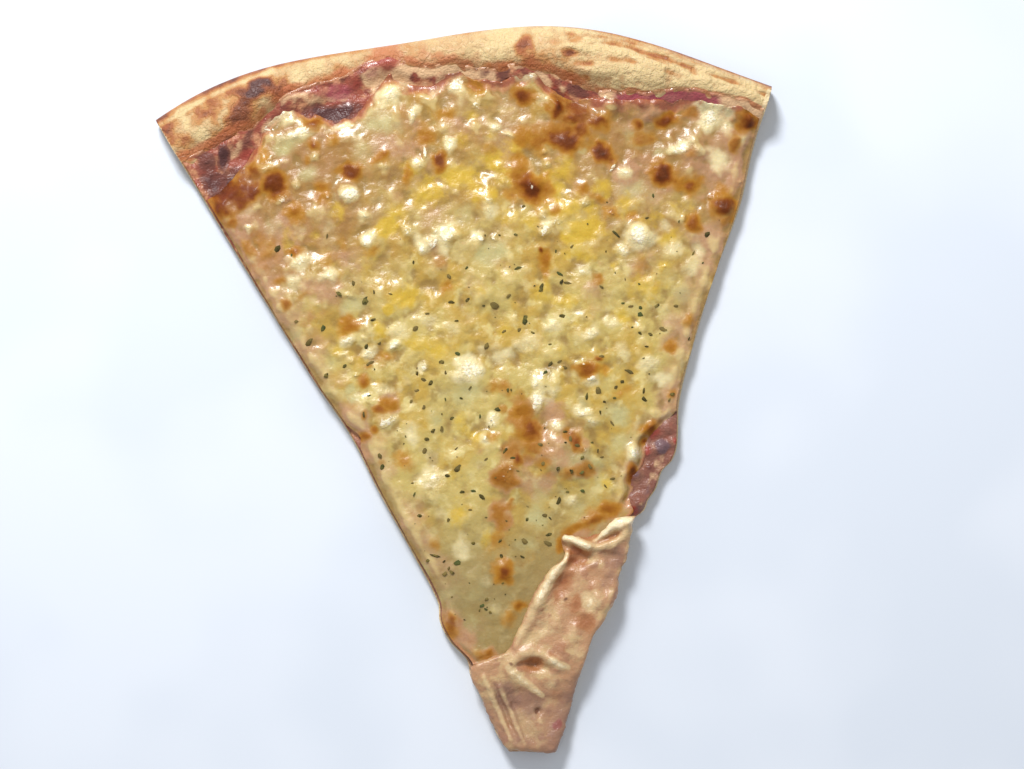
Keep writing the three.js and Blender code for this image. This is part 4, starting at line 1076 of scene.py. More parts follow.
# Raised bumps, wrinkled on top, with painted glints: near-white specks laid into their colour.
GLINT_BUMPS = [
    (13.6, 179.6, 1.6, 0.95), (-39.8, 183.6, 2.8, 1.2, 1.2, -5), (-36, 169.2, 2, 1.1, 1.5, -5),
    (-56.5, 166, 2, 1.0, 1.8, 0), (-49.7, 160, 2.4, 0.9, 1.3, -10), (-60, 160, 1.8, 0.7),
    (-71, 176.8, 1.4, 0.8), (-43.4, 153.8, 1, 1.0, 1.6, -10), (-53, 152, 0.9, 0.7),
    (-45.9, 140.7, 1.6, 1.0, 1.6, 5), (-41.2, 140.6, 1.2, 0.8), (-32.5, 137.4, 1.6, 1.2, 1.6, 0),
    (-40.2, 136.2, 1.5, 0.9, 1.5, 20), (-45, 134, 1.2, 0.7), (-44, 130, 0.8, 0.9, 1.6, 0),
    (-37.7, 124.8, 1.8, 0.7, 1.6, -10), (-37, 115.2, 2.4, 1.1, 1.5, 15),
    (-36, 176.2, 2, 0.7, 1.4, -10), (-10.8, 127.4, 3.2, 1.1, 1.4, 5),
    (-23.8, 130, 1.2, 0.9, 1.4, 80), (-24.5, 127.6, 0.9, 0.8), (-21.2, 164.8, 1.9, 1.1),
    (-17, 166, 2.2, 1.1, 1.3, 0), (-12, 167.4, 2.4, 1.1, 1.6, 12), (-16, 169.4, 1.6, 0.9),
    (-24.4, 169.8, 1.8, 0.8), (-26, 172, 1.4, 0.6), (-2.8, 165.8, 1.6, 1.1), (1.1, 165.1, 0.9, 1.0),
    (0.8, 176.6, 2.2, 0.8, 1.2, -10), (0.2, 173.8, 1.6, 0.7), (16.1, 165.6, 2, 1.2, 1.2, 20),
    (16, 170, 1.5, 0.9, 1.3, 80), (20, 167, 1.5, 0.7, 1.5, 20), (43.8, 161, 4, 1.2, 1.1, 0),
    (38.9, 157.6, 1.9, 1.0, 1.4, 10), (28.4, 172, 1.3, 0.9, 1.5, 20),
    (25.7, 152.2, 2.2, 1.0, 1.5, 0), (21.6, 151.6, 1.2, 0.7), (41.4, 180.2, 2.2, 0.9, 1.3, 0),
    (38.2, 181.8, 0.8, 1.1, 3, 55), (59.2, 185.2, 3.4, 1.15, 1.35, 5),
    (64.4, 183.8, 1.5, 0.8, 1.6, -20), (68.7, 193, 3.6, 1.1, 1.2, 40),
    (72.6, 189.6, 2, 0.8, 1.3, -20), (7.5, 122, 1.2, 1.1, 2.6, 80), (7.8, 116, 2.2, 1.1, 1.8, 88),
    (13, 117.4, 1.8, 0.6), (23.9, 120.4, 1.1, 1.2, 2.2, -5), (22, 125, 0.8, 0.9, 1.6, 0),
    (15.5, 124.5, 1, 0.8), (12.6, 108.2, 1.6, 0.9, 1.5, 10), (20, 111.2, 2, 1.0, 1.9, -25),
    (22.8, 107.6, 1.6, 1.0, 1.7, -20), (-8.9, 107.4, 1.2, 1.0), (-6.2, 111.8, 1.4, 1.0, 1.4, 75),
    (-5, 103, 0.9, 0.7), (-3, 97.4, 1.8, 0.7, 1.4, -20), (-4, 94.6, 2.4, 0.5),
    (19.6, 100.4, 1.6, 0.6), (34.4, 97.6, 2.3, 1.1, 1.1, 0), (14, 86, 2, 0.9, 1.2, 0),
    (25.8, 133.6, 1.8, 0.8, 2, 22), (32, 135.6, 2, 0.6), (14.4, 137.6, 1.6, 0.6, 1.6, 0),
    (-57, 210, 3, 0.9, 1.4, 10), (-53, 203.4, 2, 1.1, 2.6, 10), (-40, 204, 1.8, 1.1, 3, 8),
    (-24.4, 211.4, 2.8, 0.9, 1.3, 60), (-20, 213, 2.6, 0.7), (-11, 210.4, 2.4, 0.8),
    (-4.4, 212, 2.4, 1.0, 1.3, 0), (0, 205, 1.4, 0.9, 1.8, -60), (-8.8, 195, 2, 1.0, 1.4, 80),
    (-16.3, 192.6, 0.9, 1.2, 3, 85), (-18.2, 189.6, 1.7, 0.8), (-18.5, 204.6, 1, 0.9, 2.8, 55),
    (5.3, 198.5, 2.2, 1.0, 1.4, -20), (8.6, 195.2, 0.8, 0.8, 2.6, -30),
    (17.2, 211.6, 1.8, 0.9, 1.7, 0), (18.5, 205.2, 1.5, 0.7), (38, 203.2, 1, 1.0, 2.6, -60),
    (24.8, 203, 1.4, 0.7), (-48.6, 196, 1.5, 1.1, 1.3, 0), (-55, 188.6, 1.7, 0.9, 1.3, -30),
    (-60, 184.6, 1.6, 0.8, 1.4, 10), (-46.2, 183.4, 1.2, 0.8), (-29, 190, 1.1, 0.6),
    (19.1, 185.2, 1.1, 0.9), (18.6, 188.8, 0.9, 1.0), (5, 186, 1.6, 0.5), (36.5, 168.3, 0.6, 1),
    (50, 150.2, 0.6, 0.9), (75, 173, 0.8, 0.8), (66, 170, 0.7, 0.7), (57, 164.5, 0.6, 0.8, 2, 80),
    (74, 195.6, 1.6, 0.6, 1.8, -20), (78, 186, 1.6, 0.5), (-62.5, 206.5, 1.4, 0.9, 2, -55),
    (-61.8, 197.6, 2, 0.9), (-59, 202, 1.4, 0.8, 1.6, 80), (-64.4, 194.4, 1.8, 0.7, 1.8, 20),
    (-53, 163, 3, 0.35), (-33, 111, 3.4, 0.5), (-25, 94, 4, 0.4), (53, 155, 3, 0.4),
    (57, 150, 3, 0.4), (35, 128, 3.4, 0.35, 1.5, 80), (44, 122.6, 3, 0.5, 1.6, -10),
    (6, 132, 4, 0.35), (-20, 145, 3, 0.4), (-30, 141, 3, 0.4), (56.5, 193.4, 1.4, 0.4),
    (51, 177, 1, 0.35), (-18, 77, 3, 0.3),
]
# In the sauce: burnt, red, grey and wine-red places.
BURNT_SAUCE = [
    (40.4, 104.6, 2.4, 0.6, 1.3, 0), (33, 91, 2, 0.5, 1.3, 80), (30.6, 81, 1.4, 0.6),
    (37.8, 92.6, 1.4, 0.7), (-41.5, 208.2, 4.4, 1.3, 2.2, 5), (-75.6, 198.6, 2.4, 1.2, 1.9, 78),
    (-80, 192, 5, 0.9), (-73.5, 191.5, 6, 0.9), (-67.6, 204.6, 2.6, 0.6, 2.4, 60),
    (-81, 198.5, 4.5, 0.75, 1.3, -45), (24, 204, 4.5, 0.9), (10, 213, 3.4, 0.7),
    (31, 206, 3, 0.8, 1.6, -30), (36, 200.5, 3, 0.7), (16, 208.4, 2.4, 0.8), (64, 197, 3, 0.3),
    (-50, 210, 3, 0.7), (4, 214, 2.6, 0.5), (-64, 200, 2.6, 0.5), (-27, 214.5, 3, 0.4),
]
RED_SAUCE = [
    (40.4, 103.2, 3.2, 0.8), (38, 97.6, 2, 0.9), (46.6, 99.4, 1.6, 0.8), (31.6, 80.6, 2, 0.9),
    (34.4, 95, 1.6, 0.5), (-70, 193.5, 2.4, 1.0, 2, 78), (-69, 199.5, 2.2, 0.8, 1.8, 80),
    (-64.5, 208.5, 2, 0.6, 2.4, 52), (-24, 222.5, 4.4, 0.9, 1.3, 0), (-34, 216, 2.6, 0.7),
    (-16, 220, 2.4, 0.6), (30, 210, 4, 0.8, 1.3, -20), (24.6, 207, 3, 0.7), (46, 203, 3, 0.6),
    (-82, 196, 3, 0.5), (8, 216, 3, 0.5),
]
GREY_SAUCE = [(42.4, 98.4, 2.4, 1.0), (33.8, 91.6, 1.8, 0.7), (36.6, 86, 1.8, 0.5, 1.8, 60)]
WINE_SAUCE = [(-40, 214.5, 4, 0.8, 2, 0), (-29, 219.5, 4, 0.5), (6, 213, 4, 0.4)]
# Where melted cheese has run into the sauce.
CHEESY_SAUCE = [
    (-71.5, 201, 1.8, 0.6, 1.6, 60), (-22, 216, 4, 0.85, 1.4, 0), (-29.5, 217.5, 2.6, 0.8),
    (-6, 218, 4, 0.85, 1.6, 0), (-9, 215, 4, 0.6), (-80, 205, 4, 0.4), (-61, 203, 3, 0.9, 1.5, 60),
    (-62, 197.5, 3, 0.8), (-52, 214, 3, 0.6, 2, 0), (-40, 213, 1.6, 0.9, 4, 3),
    (-28, 216, 2.6, 1, 1.6, 60), (-12, 216, 3, 0.9, 2, -10), (-3, 217, 3, 0.9, 1.6, -20),
    (5, 213, 3, 0.8, 1.6, -15), (-14, 213.6, 3, 0.8), (26, 211, 2, 0.6, 1.6, -20),
    (39.5, 202.5, 1.8, 1.2, 1.8, -45), (49, 200, 1.6, 0.7, 2, 0), (57, 200, 1.6, 0.6, 2, 0),
    (77, 197, 3, 1.0, 2, 0), (85, 193, 3, 0.9), (13, 215.5, 1.6, 0.7, 3, -5), (-8, 213, 3, 0.8),
    (44.5, 105, 2.2, 0.5), (37, 87.7, 2.4, 0.7, 1.8, 60), (41, 93.5, 2, 0.6, 1.6, 60),
    (34.6, 82.4, 1.8, 0.7), (21, 209.6, 2.4, 1.0, 1.4, -20), (-10, 213.6, 2.6, 0.8),
    (-1, 213.4, 2.8, 0.8), (-17, 213.6, 2.6, 0.8), (26.4, 207.4, 2, 0.6),
]
# On the folded tip.
FLAP_PALE = [
    (16.2, 56, 3.4, 0.95, 1.3, 60), (1, 50, 4.5, 0.6, 1.6, 60), (-4, 47, 3, 0.5), (9, 47, 3, 0.5),
    (1, 34, 3, 0.5), (-3, 23, 1.6, 0.5), (4, 57, 2.5, 0.45, 1.6, 50), (11, 42, 3, 0.45),
    (22, 58, 1.2, 0.6, 2.5, 60), (27, 66, 1.2, 0.5, 2, 60), (28.5, 70, 1.2, 0.5, 2, 80),
]
FLAP_SOAKED = [
    (9, 63, 4, 1.0, 1.5, 40), (11, 55.5, 3.4, 0.9, 1.4, -60), (13.5, 50.5, 3.4, 0.9),
    (17, 59, 3, 0.5), (6, 58, 3, 0.7, 1.6, 60), (11.4, 68.2, 3.4, 1.1, 1.4, -20),
    (13, 70.5, 2.6, 1.0, 1.6, 0), (22, 77.5, 2.4, 0.9, 2, 10), (14, 69, 3, 0.9, 1.8, 0),
    (17, 75.5, 2.4, 1.0, 2, 15), (24, 73.5, 1.4, 0.9, 2.6, 20), (-3, 40, 2.6, 0.8, 1.4, 0),
    (2, 41.5, 2, 0.7), (-8, 52, 2, 0.4, 2.5, 55), (6, 45, 3, 0.3), (18.3, 66.6, 2.2, 0.7, 1.5, 30),
    (-1, 18, 2.5, 0.4), (3, 30, 2.5, 0.5), (-14, 33, 2.5, 0.3),
]
# Places of painted shade on the folded tip.
FLAP_SHADE = [
    (18.4, 66.4, 2.4, 0.7), (23, 67, 4, 0.6, 1.6, 10), (21, 62, 4, 0.5, 1.4, 60),
    (-12, 31, 4, 0.5, 1.6, -60), (-5, 28, 4, 0.3), (11, 67, 2, 0.3),
]
FLAP_RED = [
    (1.6, 21.5, 1.8, 1.0, 1.6, 60), (3.5, 28, 1.5, 0.4), (-8, 21, 2, 0.25), (26, 69, 2, 0.3),
]
# Pits on the folded tip, darkened with painted shade.
SHADED_PITS = [
    (-3.5, 26, 1.0, 1.0, 1.3, 80), (-4, 40.4, 1.3, 0.5, 2.2, 25), (8.6, 57.4, 0.7, 0.8),
    (-9.5, 40.5, 1.2, 0.7),
]
# On the crust: toasted places, pale places, and places that sauce has coloured.
BAKED = [
    (-62.4, 217.6, 3.6, 0.85, 1.6, 5), (-66, 213.8, 3, 0.2, 2.4, 8),
    (-54.4, 214.8, 4, 0.62, 1.5, -25), (-68, 218, 3, 0.3), (-80.7, 212, 3.5, 0.3),
    (-91, 210, 2.6, 0.35), (-73, 206, 3.2, 0.2, 1.4, 60), (-77, 213, 3, 0.12), (-38, 220, 3, 0.2),
    (-43, 217, 4, 0.25, 1.4, 0), (16.9, 220, 3.4, 0.75, 1.2, 70), (18, 216.4, 2.4, 0.5, 1.6, 80),
    (22, 215.8, 4.6, 0.2, 1.6, -32), (29, 217, 1.6, 0.4, 1.5, -30), (30, 210.6, 3.6, 0.3, 1.6, -38),
    (25, 214.5, 3, 0.15), (11, 214, 3, 0.4), (5, 215, 2.4, 0.4),
]
UNBAKED = [
    (-86, 211, 4, 0.3), (-79, 208, 4, 0.12, 1.6, 0), (-52, 220, 5, 0.2), (-45, 222, 4, 0.15),
    (80, 198.5, 4, 0.35), (8, 222, 7, 0.12, 1.8, 0), (35, 217, 4, 0.1), (-36, 223, 3, 0.15),
    (-57.4, 221.4, 3, 0.4, 1.4, 10), (52, 205, 5, 0.2, 1.6, -20),
]
SAUCED = [
    (-24, 223, 6, 0.9, 1.3, 0), (-35, 218, 5, 0.8, 1.3, 0), (-42, 217, 4, 0.6, 1.5, 0),
    (-10, 220, 5, 0.6, 1.5, -10), (17, 221, 3, 0.5), (-82, 212, 2.5, 0.45), (-91, 210, 2.5, 0.5),
    (23, 213.4, 5, 0.4, 1.4, -30), (-58, 214, 4, 0.6, 1.5, -30), (0, 217, 4, 0.5),
    (-68, 210, 3, 0.4), (-84, 202, 4, 0.4), (31, 209.6, 4, 0.45, 1.4, -35), (17, 217, 3, 0.5),
]
# Dried herb flakes: (x, y, length, turn in degrees).
FLAKES = [
    (-63, 170, 2.6, 50), (-42, 157, 2, 80), (-46.5, 154.5, 1.8, -40), (-39, 151.5, 3.2, 30),
    (-31.5, 152.5, 1.4, -20), (-37.5, 145.5, 1.7, 10), (-57, 141.5, 2.8, 45), (-52.5, 145, 2, 50),
    (-60, 148, 1.3, 0), (-40.5, 138, 1.8, 60), (-36.5, 138.5, 1.2, 20), (-36.2, 153.7, 1.2, 90),
    (-48, 172, 1.4, 70), (13, 149, 3.2, 60), (-1.5, 145.5, 3, -15), (7, 140, 3, 70),
    (-14, 148, 1.8, -10), (-9, 148, 1.7, 30), (-21.5, 145.5, 1.4, 0), (-25.5, 141.5, 1.7, 30),
    (-13, 142.3, 1.3, 0), (6.8, 155.5, 2, 10), (-23.6, 161, 1.1, 70), (10.8, 173.6, 1.3, 0),
    (7.3, 165.4, 1.4, -20), (3, 147.6, 1.5, 30), (-13.8, 155.7, 2, 120), (-4.7, 145.8, 1, 0),
    (-8.2, 157.5, 1.2, 50), (36.8, 162, 4, -52), (19, 152.2, 2.2, -40), (20.7, 149.4, 2.4, -10),
    (19, 150, 1.6, 60), (18, 139.8, 1.8, -10), (36.2, 141.4, 1.2, 0), (38.4, 140.2, 1.7, 0),
    (41.2, 139.4, 1.4, -30), (46.2, 139.5, 2, 30), (30.5, 147, 1.5, -40), (49.1, 172, 1.3, 90),
    (46.3, 165.5, 1.3, 20), (18.5, 159.2, 1.2, 80), (63.5, 158.5, 2, 50), (58.6, 153.4, 1.8, 60),
    (51.7, 138.7, 1.3, -10), (23.4, 160, 1.2, 40), (40.8, 137.5, 1.8, -20), (43, 131.2, 1.5, -40),
    (47, 132.5, 2.2, -25), (54.3, 128.7, 1.2, 60), (41.5, 127.8, 1.5, -10), (40.2, 124.5, 1, 0),
    (35.5, 121.2, 2.4, -30), (33, 118.5, 1.3, 0), (31, 117, 1.3, 40), (39, 115, 2, 70),
    (38.8, 112.5, 1.9, -60), (46.2, 111.4, 1.3, 50), (47.3, 113, 1.4, 0), (30.2, 114, 1, 0),
    (38, 134, 1, 0), (40, 132, 1.1, -40), (-53.2, 131, 1.7, 60), (-47.5, 133.2, 1.6, 30),
    (-40, 133, 2.2, 25), (-26.6, 128.5, 1.3, 90), (-25, 126.3, 1.6, -20), (-22.9, 125, 1.7, 50),
    (-27.2, 123.4, 1.9, 10), (-18.9, 130.7, 1.6, 0), (-18.1, 127.4, 1.4, 90),
    (-14, 132.6, 1.6, -20), (-29.3, 120.4, 1.3, 50), (-25.9, 118.1, 1.5, 60),
    (-19.2, 119.7, 1.1, 90), (-14.6, 119.5, 1.1, -20), (-17.9, 114, 1.4, 20),
    (-21.3, 111.3, 1.8, 70), (-23.9, 111, 1.6, 40), (-26.1, 108.8, 1.4, 0), (-27.2, 105.4, 2.2, 65),
    (-40.3, 105.5, 1.5, -60), (-40, 102.3, 1.8, 60), (-18, 99, 2.6, 35), (-21.5, 97.4, 1.5, -10),
    (-31.6, 93.2, 1.4, 60), (-43.5, 118.1, 1.6, 80), (-41.3, 123.6, 1.2, 0), (-17.8, 105, 1.3, 40),
    (5, 137.4, 1.4, 60), (8.8, 136, 1.4, -30), (0.4, 137.5, 1.6, 20), (-5.2, 133.8, 2, 45),
    (13.4, 132, 1.2, 0), (12.8, 126.3, 2, 30), (15.4, 126.7, 1.6, 20), (11, 123.8, 1.5, 30),
    (16.8, 124.7, 1.4, -30), (-0.6, 120.2, 1.4, 80), (27.9, 126.6, 1.7, -10),
    (-11.6, 122.2, 1.5, 50), (22.2, 115.4, 2, 80), (25.6, 116.6, 2.4, 80), (25.5, 110.3, 1.4, 90),
    (28.6, 106.7, 1.8, -60), (27.1, 113.2, 1, -30), (-9.7, 113.5, 1.3, 80), (-4.2, 114.9, 2, -10),
    (14.4, 105.9, 1.4, 0), (15.7, 103.4, 1.9, 80), (17.6, 101.4, 1.8, -20), (6.9, 103, 1.7, -30),
    (-9.4, 100.8, 1.4, 30), (-3.6, 102.6, 2, 50), (-1.6, 100.2, 1.6, 0), (18.5, 97.7, 1.7, 15),
    (7, 97.4, 1.6, -20), (11.1, 95.4, 1.5, 60), (20.5, 94.9, 2.2, -60), (17.8, 93.4, 1.5, 0),
    (15, 94, 1.5, 70), (23.4, 99.2, 1.3, 80), (24.3, 97.2, 1.1, 0), (-28, 74.6, 3.4, -15),
    (-21.6, 71.7, 2.4, 25), (-24.2, 70.4, 1.2, 80), (-23.4, 69, 1.8, -40), (-25.6, 69, 1.6, 30),
    (-25.4, 72.6, 1.1, 30), (-30, 73.4, 1.3, 20), (-15.9, 58.4, 1.3, 20), (-14.4, 60, 1.3, 40),
    (-16.8, 57.2, 1, 70), (-15, 57.2, 1.1, -30), (-13.8, 56.2, 1.2, -30), (-1.3, 75.5, 2.2, -50),
    (-2.3, 71, 1.6, -30), (-8.6, 72.1, 1.3, 90), (-12, 89.9, 2.1, -50), (-17.7, 92.1, 2, 10),
    (-14.4, 92, 1.3, -20), (-15.9, 86.6, 1.2, 0), (-30.9, 86.7, 1.6, 20), (-22.7, 84.5, 1.3, 60),
    (-16.3, 76.7, 1.4, -30), (-8.3, 76.5, 1.7, 40), (0.3, 81.8, 1.2, 60), (10.3, 86, 2.2, 60),
    (6.1, 76.6, 2.2, 10), (5.4, 74.2, 2.6, -35), (5.6, 82.3, 1.5, -20), (7, 81.3, 1.2, -60),
    (26.7, 90.5, 1.4, 0), (24.3, 88.6, 1.4, -50), (17.5, 88, 1.5, -30), (13.2, 88.3, 1, 0),
]


def spots(x, y, places, ragged=0.15, core=0.2, edge=1.3):
    """How strongly a point lies in any of the places, with soft uneven edges."""
    total = np.zeros_like(x)
    uneven = ragged * cloud(x, y, 4.5, 9, 3)
    x = x + 0.6 * cloud(x, y, 3.4, 13, 2)
    y = y + 0.6 * cloud(x, y, 3.4, 14, 2)
    for cx, cy, radius, strength, *oval in places:
        stretch, turn = oval or (1, 0)
        u, v = turned(x - cx, y - cy, -turn)
        distance = np.hypot(u / (radius * stretch), v / radius) + uneven
        total = np.maximum(total, strength * (1 - smooth(distance, core, edge)))
    return total


# ---- Settings ----------------------------------------------------------------------------------

def colour_property(name, description, hex_colour):
    return bpy.props.FloatVectorProperty(
        name=name, description=description, subtype="COLOR", size=3, min=0, max=1,
        default=linear(hex_colour))


class SliceSettings(bpy.types.PropertyGroup):
    """Colours and small sizes of the slice, whose outline and heights follow the frame"""

    dough_colour: colour_property("Dough", "Colour of the palest baked dough", "d3b987")
    folded_colour: colour_property("Folded dough", "Colour of the folded tip's dough", "b98d68")
    sauce_colour: colour_property("Sauce", "Colour of the tomato sauce between its patches", "974c39")
    cheese_colour: colour_property("Cheese", "Colour of the plain melted cheese", "c0aa62")
    herb_colour: colour_property("Herbs", "Colour of the dried herb flakes", "4d4522")
    small_flakes: bpy.props.IntProperty(
        name="Small flakes", description="How many tiny herb flakes are strewn by chance",
        default=110, min=0)
    flake_thickness: bpy.props.FloatProperty(
        name="Flake thickness", description="Thickness of every herb flake",
        default=0.14 * MM, min=0, precision=5, unit="LENGTH")
    flake_corners: bpy.props.IntProperty(
        name="Flake corners", description="How many corners a herb flake's outline has",
        default=7, min=3, max=24)


class StageSettings(bpy.types.PropertyGroup):
    """Floor, light and camera"""

    camera_height: bpy.props.FloatProperty(
        name="Camera height", description="Height of the camera over the slice",
        default=0.605, unit="LENGTH")
    camera_tilt: bpy.props.FloatProperty(
        name="Camera tilt", description="How far the camera leans from straight down",
        default=math.radians(3), subtype="ANGLE")
    key_power: bpy.props.FloatProperty(
        name="Key light", description="Power of the window-like light in watts", default=8.0)
    sky_strength: bpy.props.FloatProperty(
        name="Sky", description="Strength of the even light from all round", default=0.52)


# ---- Pieces ------------------------------------------------------------------------------------

class PIZZA_OT_crust(bpy.types.Operator):
    """Add the dough base with its puffed rim"""

    bl_idname = "pizza.add_crust"
    bl_label = "Crust"

    def execute(self, context):
        layer = {"left": left_side, "right": right_side, "tip_end": tip_edge, "rim_end": rim_edge,
                 "reach": CRUST_REACH}
        piece, flat, level, edge = wedge_slab("crust_dough", layer, CRUST_CELL, SIDE_RINGS)
        x, y = flat.T
        depth = depth_from_rim(x, y)
        bare = through(SAUCE_START, x)
        z = mix(dough_under(x, y), crust_top(x, y), level)
        set_points(piece, np.column_stack([x, y, z]))
        hidden = ~edge & ((level < 0.5) | (depth > bare + 8))
        thin_out(piece, hidden, CRUST_KEPT)
        self.colour(piece)
        set_in_frame(piece)
        piece.data.materials.append(dough_material(context.scene.pizza_slice.dough_colour))
        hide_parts("crust")
        return {"FINISHED"}

    def colour(self, piece):
        x, y, _ = points(piece).T
        nz = normals(piece)[:, 2]
        depth = depth_from_rim(x, y)
        left, right = smooth(-x, 45, 62), smooth(x, 14, 34)
        toast_and_shade = 0.31 + 0.28 * left - 0.01 * right
        toast_and_shade = toast_and_shade + (0.26 * left + 0.08) * cloud(x, y, 5, 6, 3) + 0.09 * cloud(x, y, 13, 16, 2)
        skin = smooth(np.abs(x + 2), 18, 42)
        toast_and_shade = toast_and_shade + 0.35 * skin * (1 - smooth(depth, 0.7, 1.9))
        toast_and_shade = toast_and_shade - 0.35 * left * (1 - smooth(np.abs(depth - 2.9), 0.3, 1.2)) * smooth(-x, 52, 60)
        toast_and_shade = toast_and_shade + 0.4 * right * (1 - smooth(depth, 2.6, 3.8)) * smooth(x, 34, 42)
        # Painted shade in the hollows of the puffed rim on the right, and painted light on its crests
        toast_and_shade = toast_and_shade + right * np.clip(0.9 * hollow(crust_top, x, y, 1.6), -0.3, 0.4)
        toast_and_shade = toast_and_shade + spots(x, y, BAKED) - spots(x, y, UNBAKED)
        toast_and_shade = np.where(nz < -0.5, 0.5 + 0.2 * cloud(x, y, 20, 8, 3), toast_and_shade)
        cut = smooth(depth, 1.2, 3) * (nz > -0.5) * np.maximum(
            0.7 * (1 - smooth(x - left_side(y), 0.2, 0.7)), 1 - smooth(right_side(y) - x, 1, 2))
        paint(piece, "toast_and_shade", toast_and_shade)
        from_sauce = y - sauce_rim_edge(x)
        reach = mix(3.5, 1.0, smooth(x, 30, 44))
        beside = smooth(from_sauce, -3, 0) * (1 - smooth(from_sauce, 0.1 * reach, reach))
        beside = beside * (0.75 + 0.5 * cloud(x, y, 5, 18, 2))
        paint(piece, "stain", np.maximum(spots(x, y, SAUCED, 0.4), beside))
        # Soft untoasted dough near the tip, with painted shade beside and under the folded tip
        paint(piece, "steamed_and_shaded", (1 - smooth(y, 40, 50)) * (nz > -0.5))
        paint(piece, "crumb", cut)


class PIZZA_OT_sauce(bpy.types.Operator):
    """Add the layer of baked tomato sauce"""

    bl_idname = "pizza.add_sauce"
    bl_label = "Sauce"

    def execute(self, context):
        layer = {"left": sauce_left, "right": sauce_right, "tip_end": lambda x: SAUCE_END,
                 "rim_end": sauce_rim_edge, "reach": SAUCE_REACH}
        piece, flat, level, edge = wedge_slab("sauce_layer", layer, SAUCE_CELL)
        x, y = flat.T
        relief = (0.25 + 0.3 * smooth(-x, 20, 50)) * cloud(x, y, 4, 12, 3) * smooth(level, 0, 1)
        z = mix(dough_base(x, y) - OVERLAP, sauce_top(x, y) + relief, level)
        set_points(piece, np.column_stack([x, y, z]))
        covered = (y < cheese_rim_edge(x) - 4) & (x > cheese_left(y) + 3) & (x < cheese_right(y) - 3)
        thin_out(piece, ~edge & ((level < 0.5) | covered), SAUCE_KEPT)
        x, y, _ = points(piece).T
        paint(piece, "burnt", spots(x, y, BURNT_SAUCE))
        band = smooth(x, 38, 45) * (1 - smooth(x, 69, 75)) * smooth(y, 190, 195)
        paint(piece, "wine", band + spots(x, y, WINE_SAUCE))
        paint(piece, "grey", spots(x, y, GREY_SAUCE, 0.2))
        paint(piece, "red", spots(x, y, RED_SAUCE, 0.3, 0, 1.4))
        paint(piece, "dry", 1 - smooth(y, 108, 116))
        cheesy = spots(x, y, CHEESY_SAUCE, 0.5) + 0.3 * smooth(y, 190, 200)
        cheesy = cheesy + 0.9 * smooth(x, 70, 77) * smooth(y, 180, 190)
        beside_cheese = (1 - smooth(sauce_right(y) - x, 0.8, 1.6)) * smooth(y, 106, 110)
        paint(piece, "cheesy", np.maximum(cheesy, 1.2 * beside_cheese))
        paint(piece, "rubbed", 1 - smooth(sauce_rim_edge(x) - y, 0, 2.2))
        set_in_frame(piece)
        piece.data.materials.append(sauce_material(context.scene.pizza_slice.sauce_colour))
        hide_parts("sauce")
        return {"FINISHED"}


class PIZZA_OT_cheese(bpy.types.Operator):
    """Add the melted cheese"""

    bl_idname = "pizza.add_cheese"
    bl_label = "Cheese"

    def execute(self, context):
        layer = {"left": cheese_left, "right": cheese_right, "tip_end": lambda x: CHEESE_END,
                 "rim_end": cheese_rim_edge, "reach": CHEESE_REACH}
        piece, flat, level, edge = wedge_slab("melted_cheese", layer, CHEESE_CELL)
        x, y = flat.T
        z = mix(sauce_top(x, y) - OVERLAP, cheese_top(x, y), level)
        set_points(piece, np.column_stack([x, y, z]))
        thin_out(piece, ~edge & (level < 0.5), CHEESE_KEPT)
        x, y, _ = points(piece).T
        low = np.clip(hollow(cheese_top, x, y, 3), -0.8, 0.8)
        upper = smooth(y, 120, 200)
        # Hollows get painted shade with their pooled oil; the bumps get paler cheese
        paint(piece, "hollow", np.maximum(low, 0) / 0.5)
        paint(piece, "raised", np.maximum(-low, 0) / 0.5)
        corners = smooth(np.abs(x + 2), 15, 55)
        at_left = 1 - smooth(x - cheese_left(y), 1, 7)
        at_edge = 1 - smooth(np.minimum(x - cheese_left(y), cheese_right(y) - x), 2, 16)
        paint(piece, "toasted", upper * (0.75 + 0.6 * corners))
        paint(piece, "blush", 0.6 * at_edge + 0.35 * upper + spots(x, y, BLUSH, 0.4, 0, 1.4))
        mound = spots(x, y, [(14, 97.5, 8, 1.1, 1.2, -10)])
        paint(piece, "shaded", np.maximum(np.maximum(1 - smooth(y, 55, 110), 0.8 * at_left), mound))
        paint(piece, "brown", 1.08 * spots(x, y, BROWNED, 0.42, 0.05, 1.7))
        to_rim = cheese_rim_edge(x) - y + 1.2 * cloud(x, y, 4, 44, 3)
        at_rim = 1.2 * (1 - smooth(to_rim, 0.5, 5.5))
        at_end = 0.9 * (1 - smooth(x - cheese_left(y), 0, 3)) * (1 - smooth(y, 48, 54))
        at_shelf = on_shelf(y) * 1.1 * (1 - smooth(cheese_right(y) - x, 0, 2.5))
        paint(piece, "edge", np.maximum(np.maximum(at_rim, at_end), at_shelf))
        paint(piece, "amber", spots(x, y, AMBER, 0.3, 0, 1.4) + 0.08 * upper)
        paint(piece, "golden", spots(x, y, GOLDEN, 0.35, 0, 1.4) + 0.1 * upper)
        for name, places in (("cream", CREAM), ("thin", THIN)):
            paint(piece, name, spots(x, y, places, 0.35, 0, 1.4))
        paint(piece, "rusty", spots(x, y, RUSTY, 0.35, 0, 1.5))
        paint(piece, "calm", spots(x, y, CALM, 0.3, 0, 1.5))
        # Painted glints: where white specks are laid into the colour of the raised bumps
        paint(piece, "painted_glints", spots(x, y, GLINT_BUMPS, 0.3, 0.1, 1.2))
        set_in_frame(piece)
        piece.data.materials.append(cheese_material(context.scene.pizza_slice.cheese_colour))
        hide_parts("cheese")
        return {"FINISHED"}


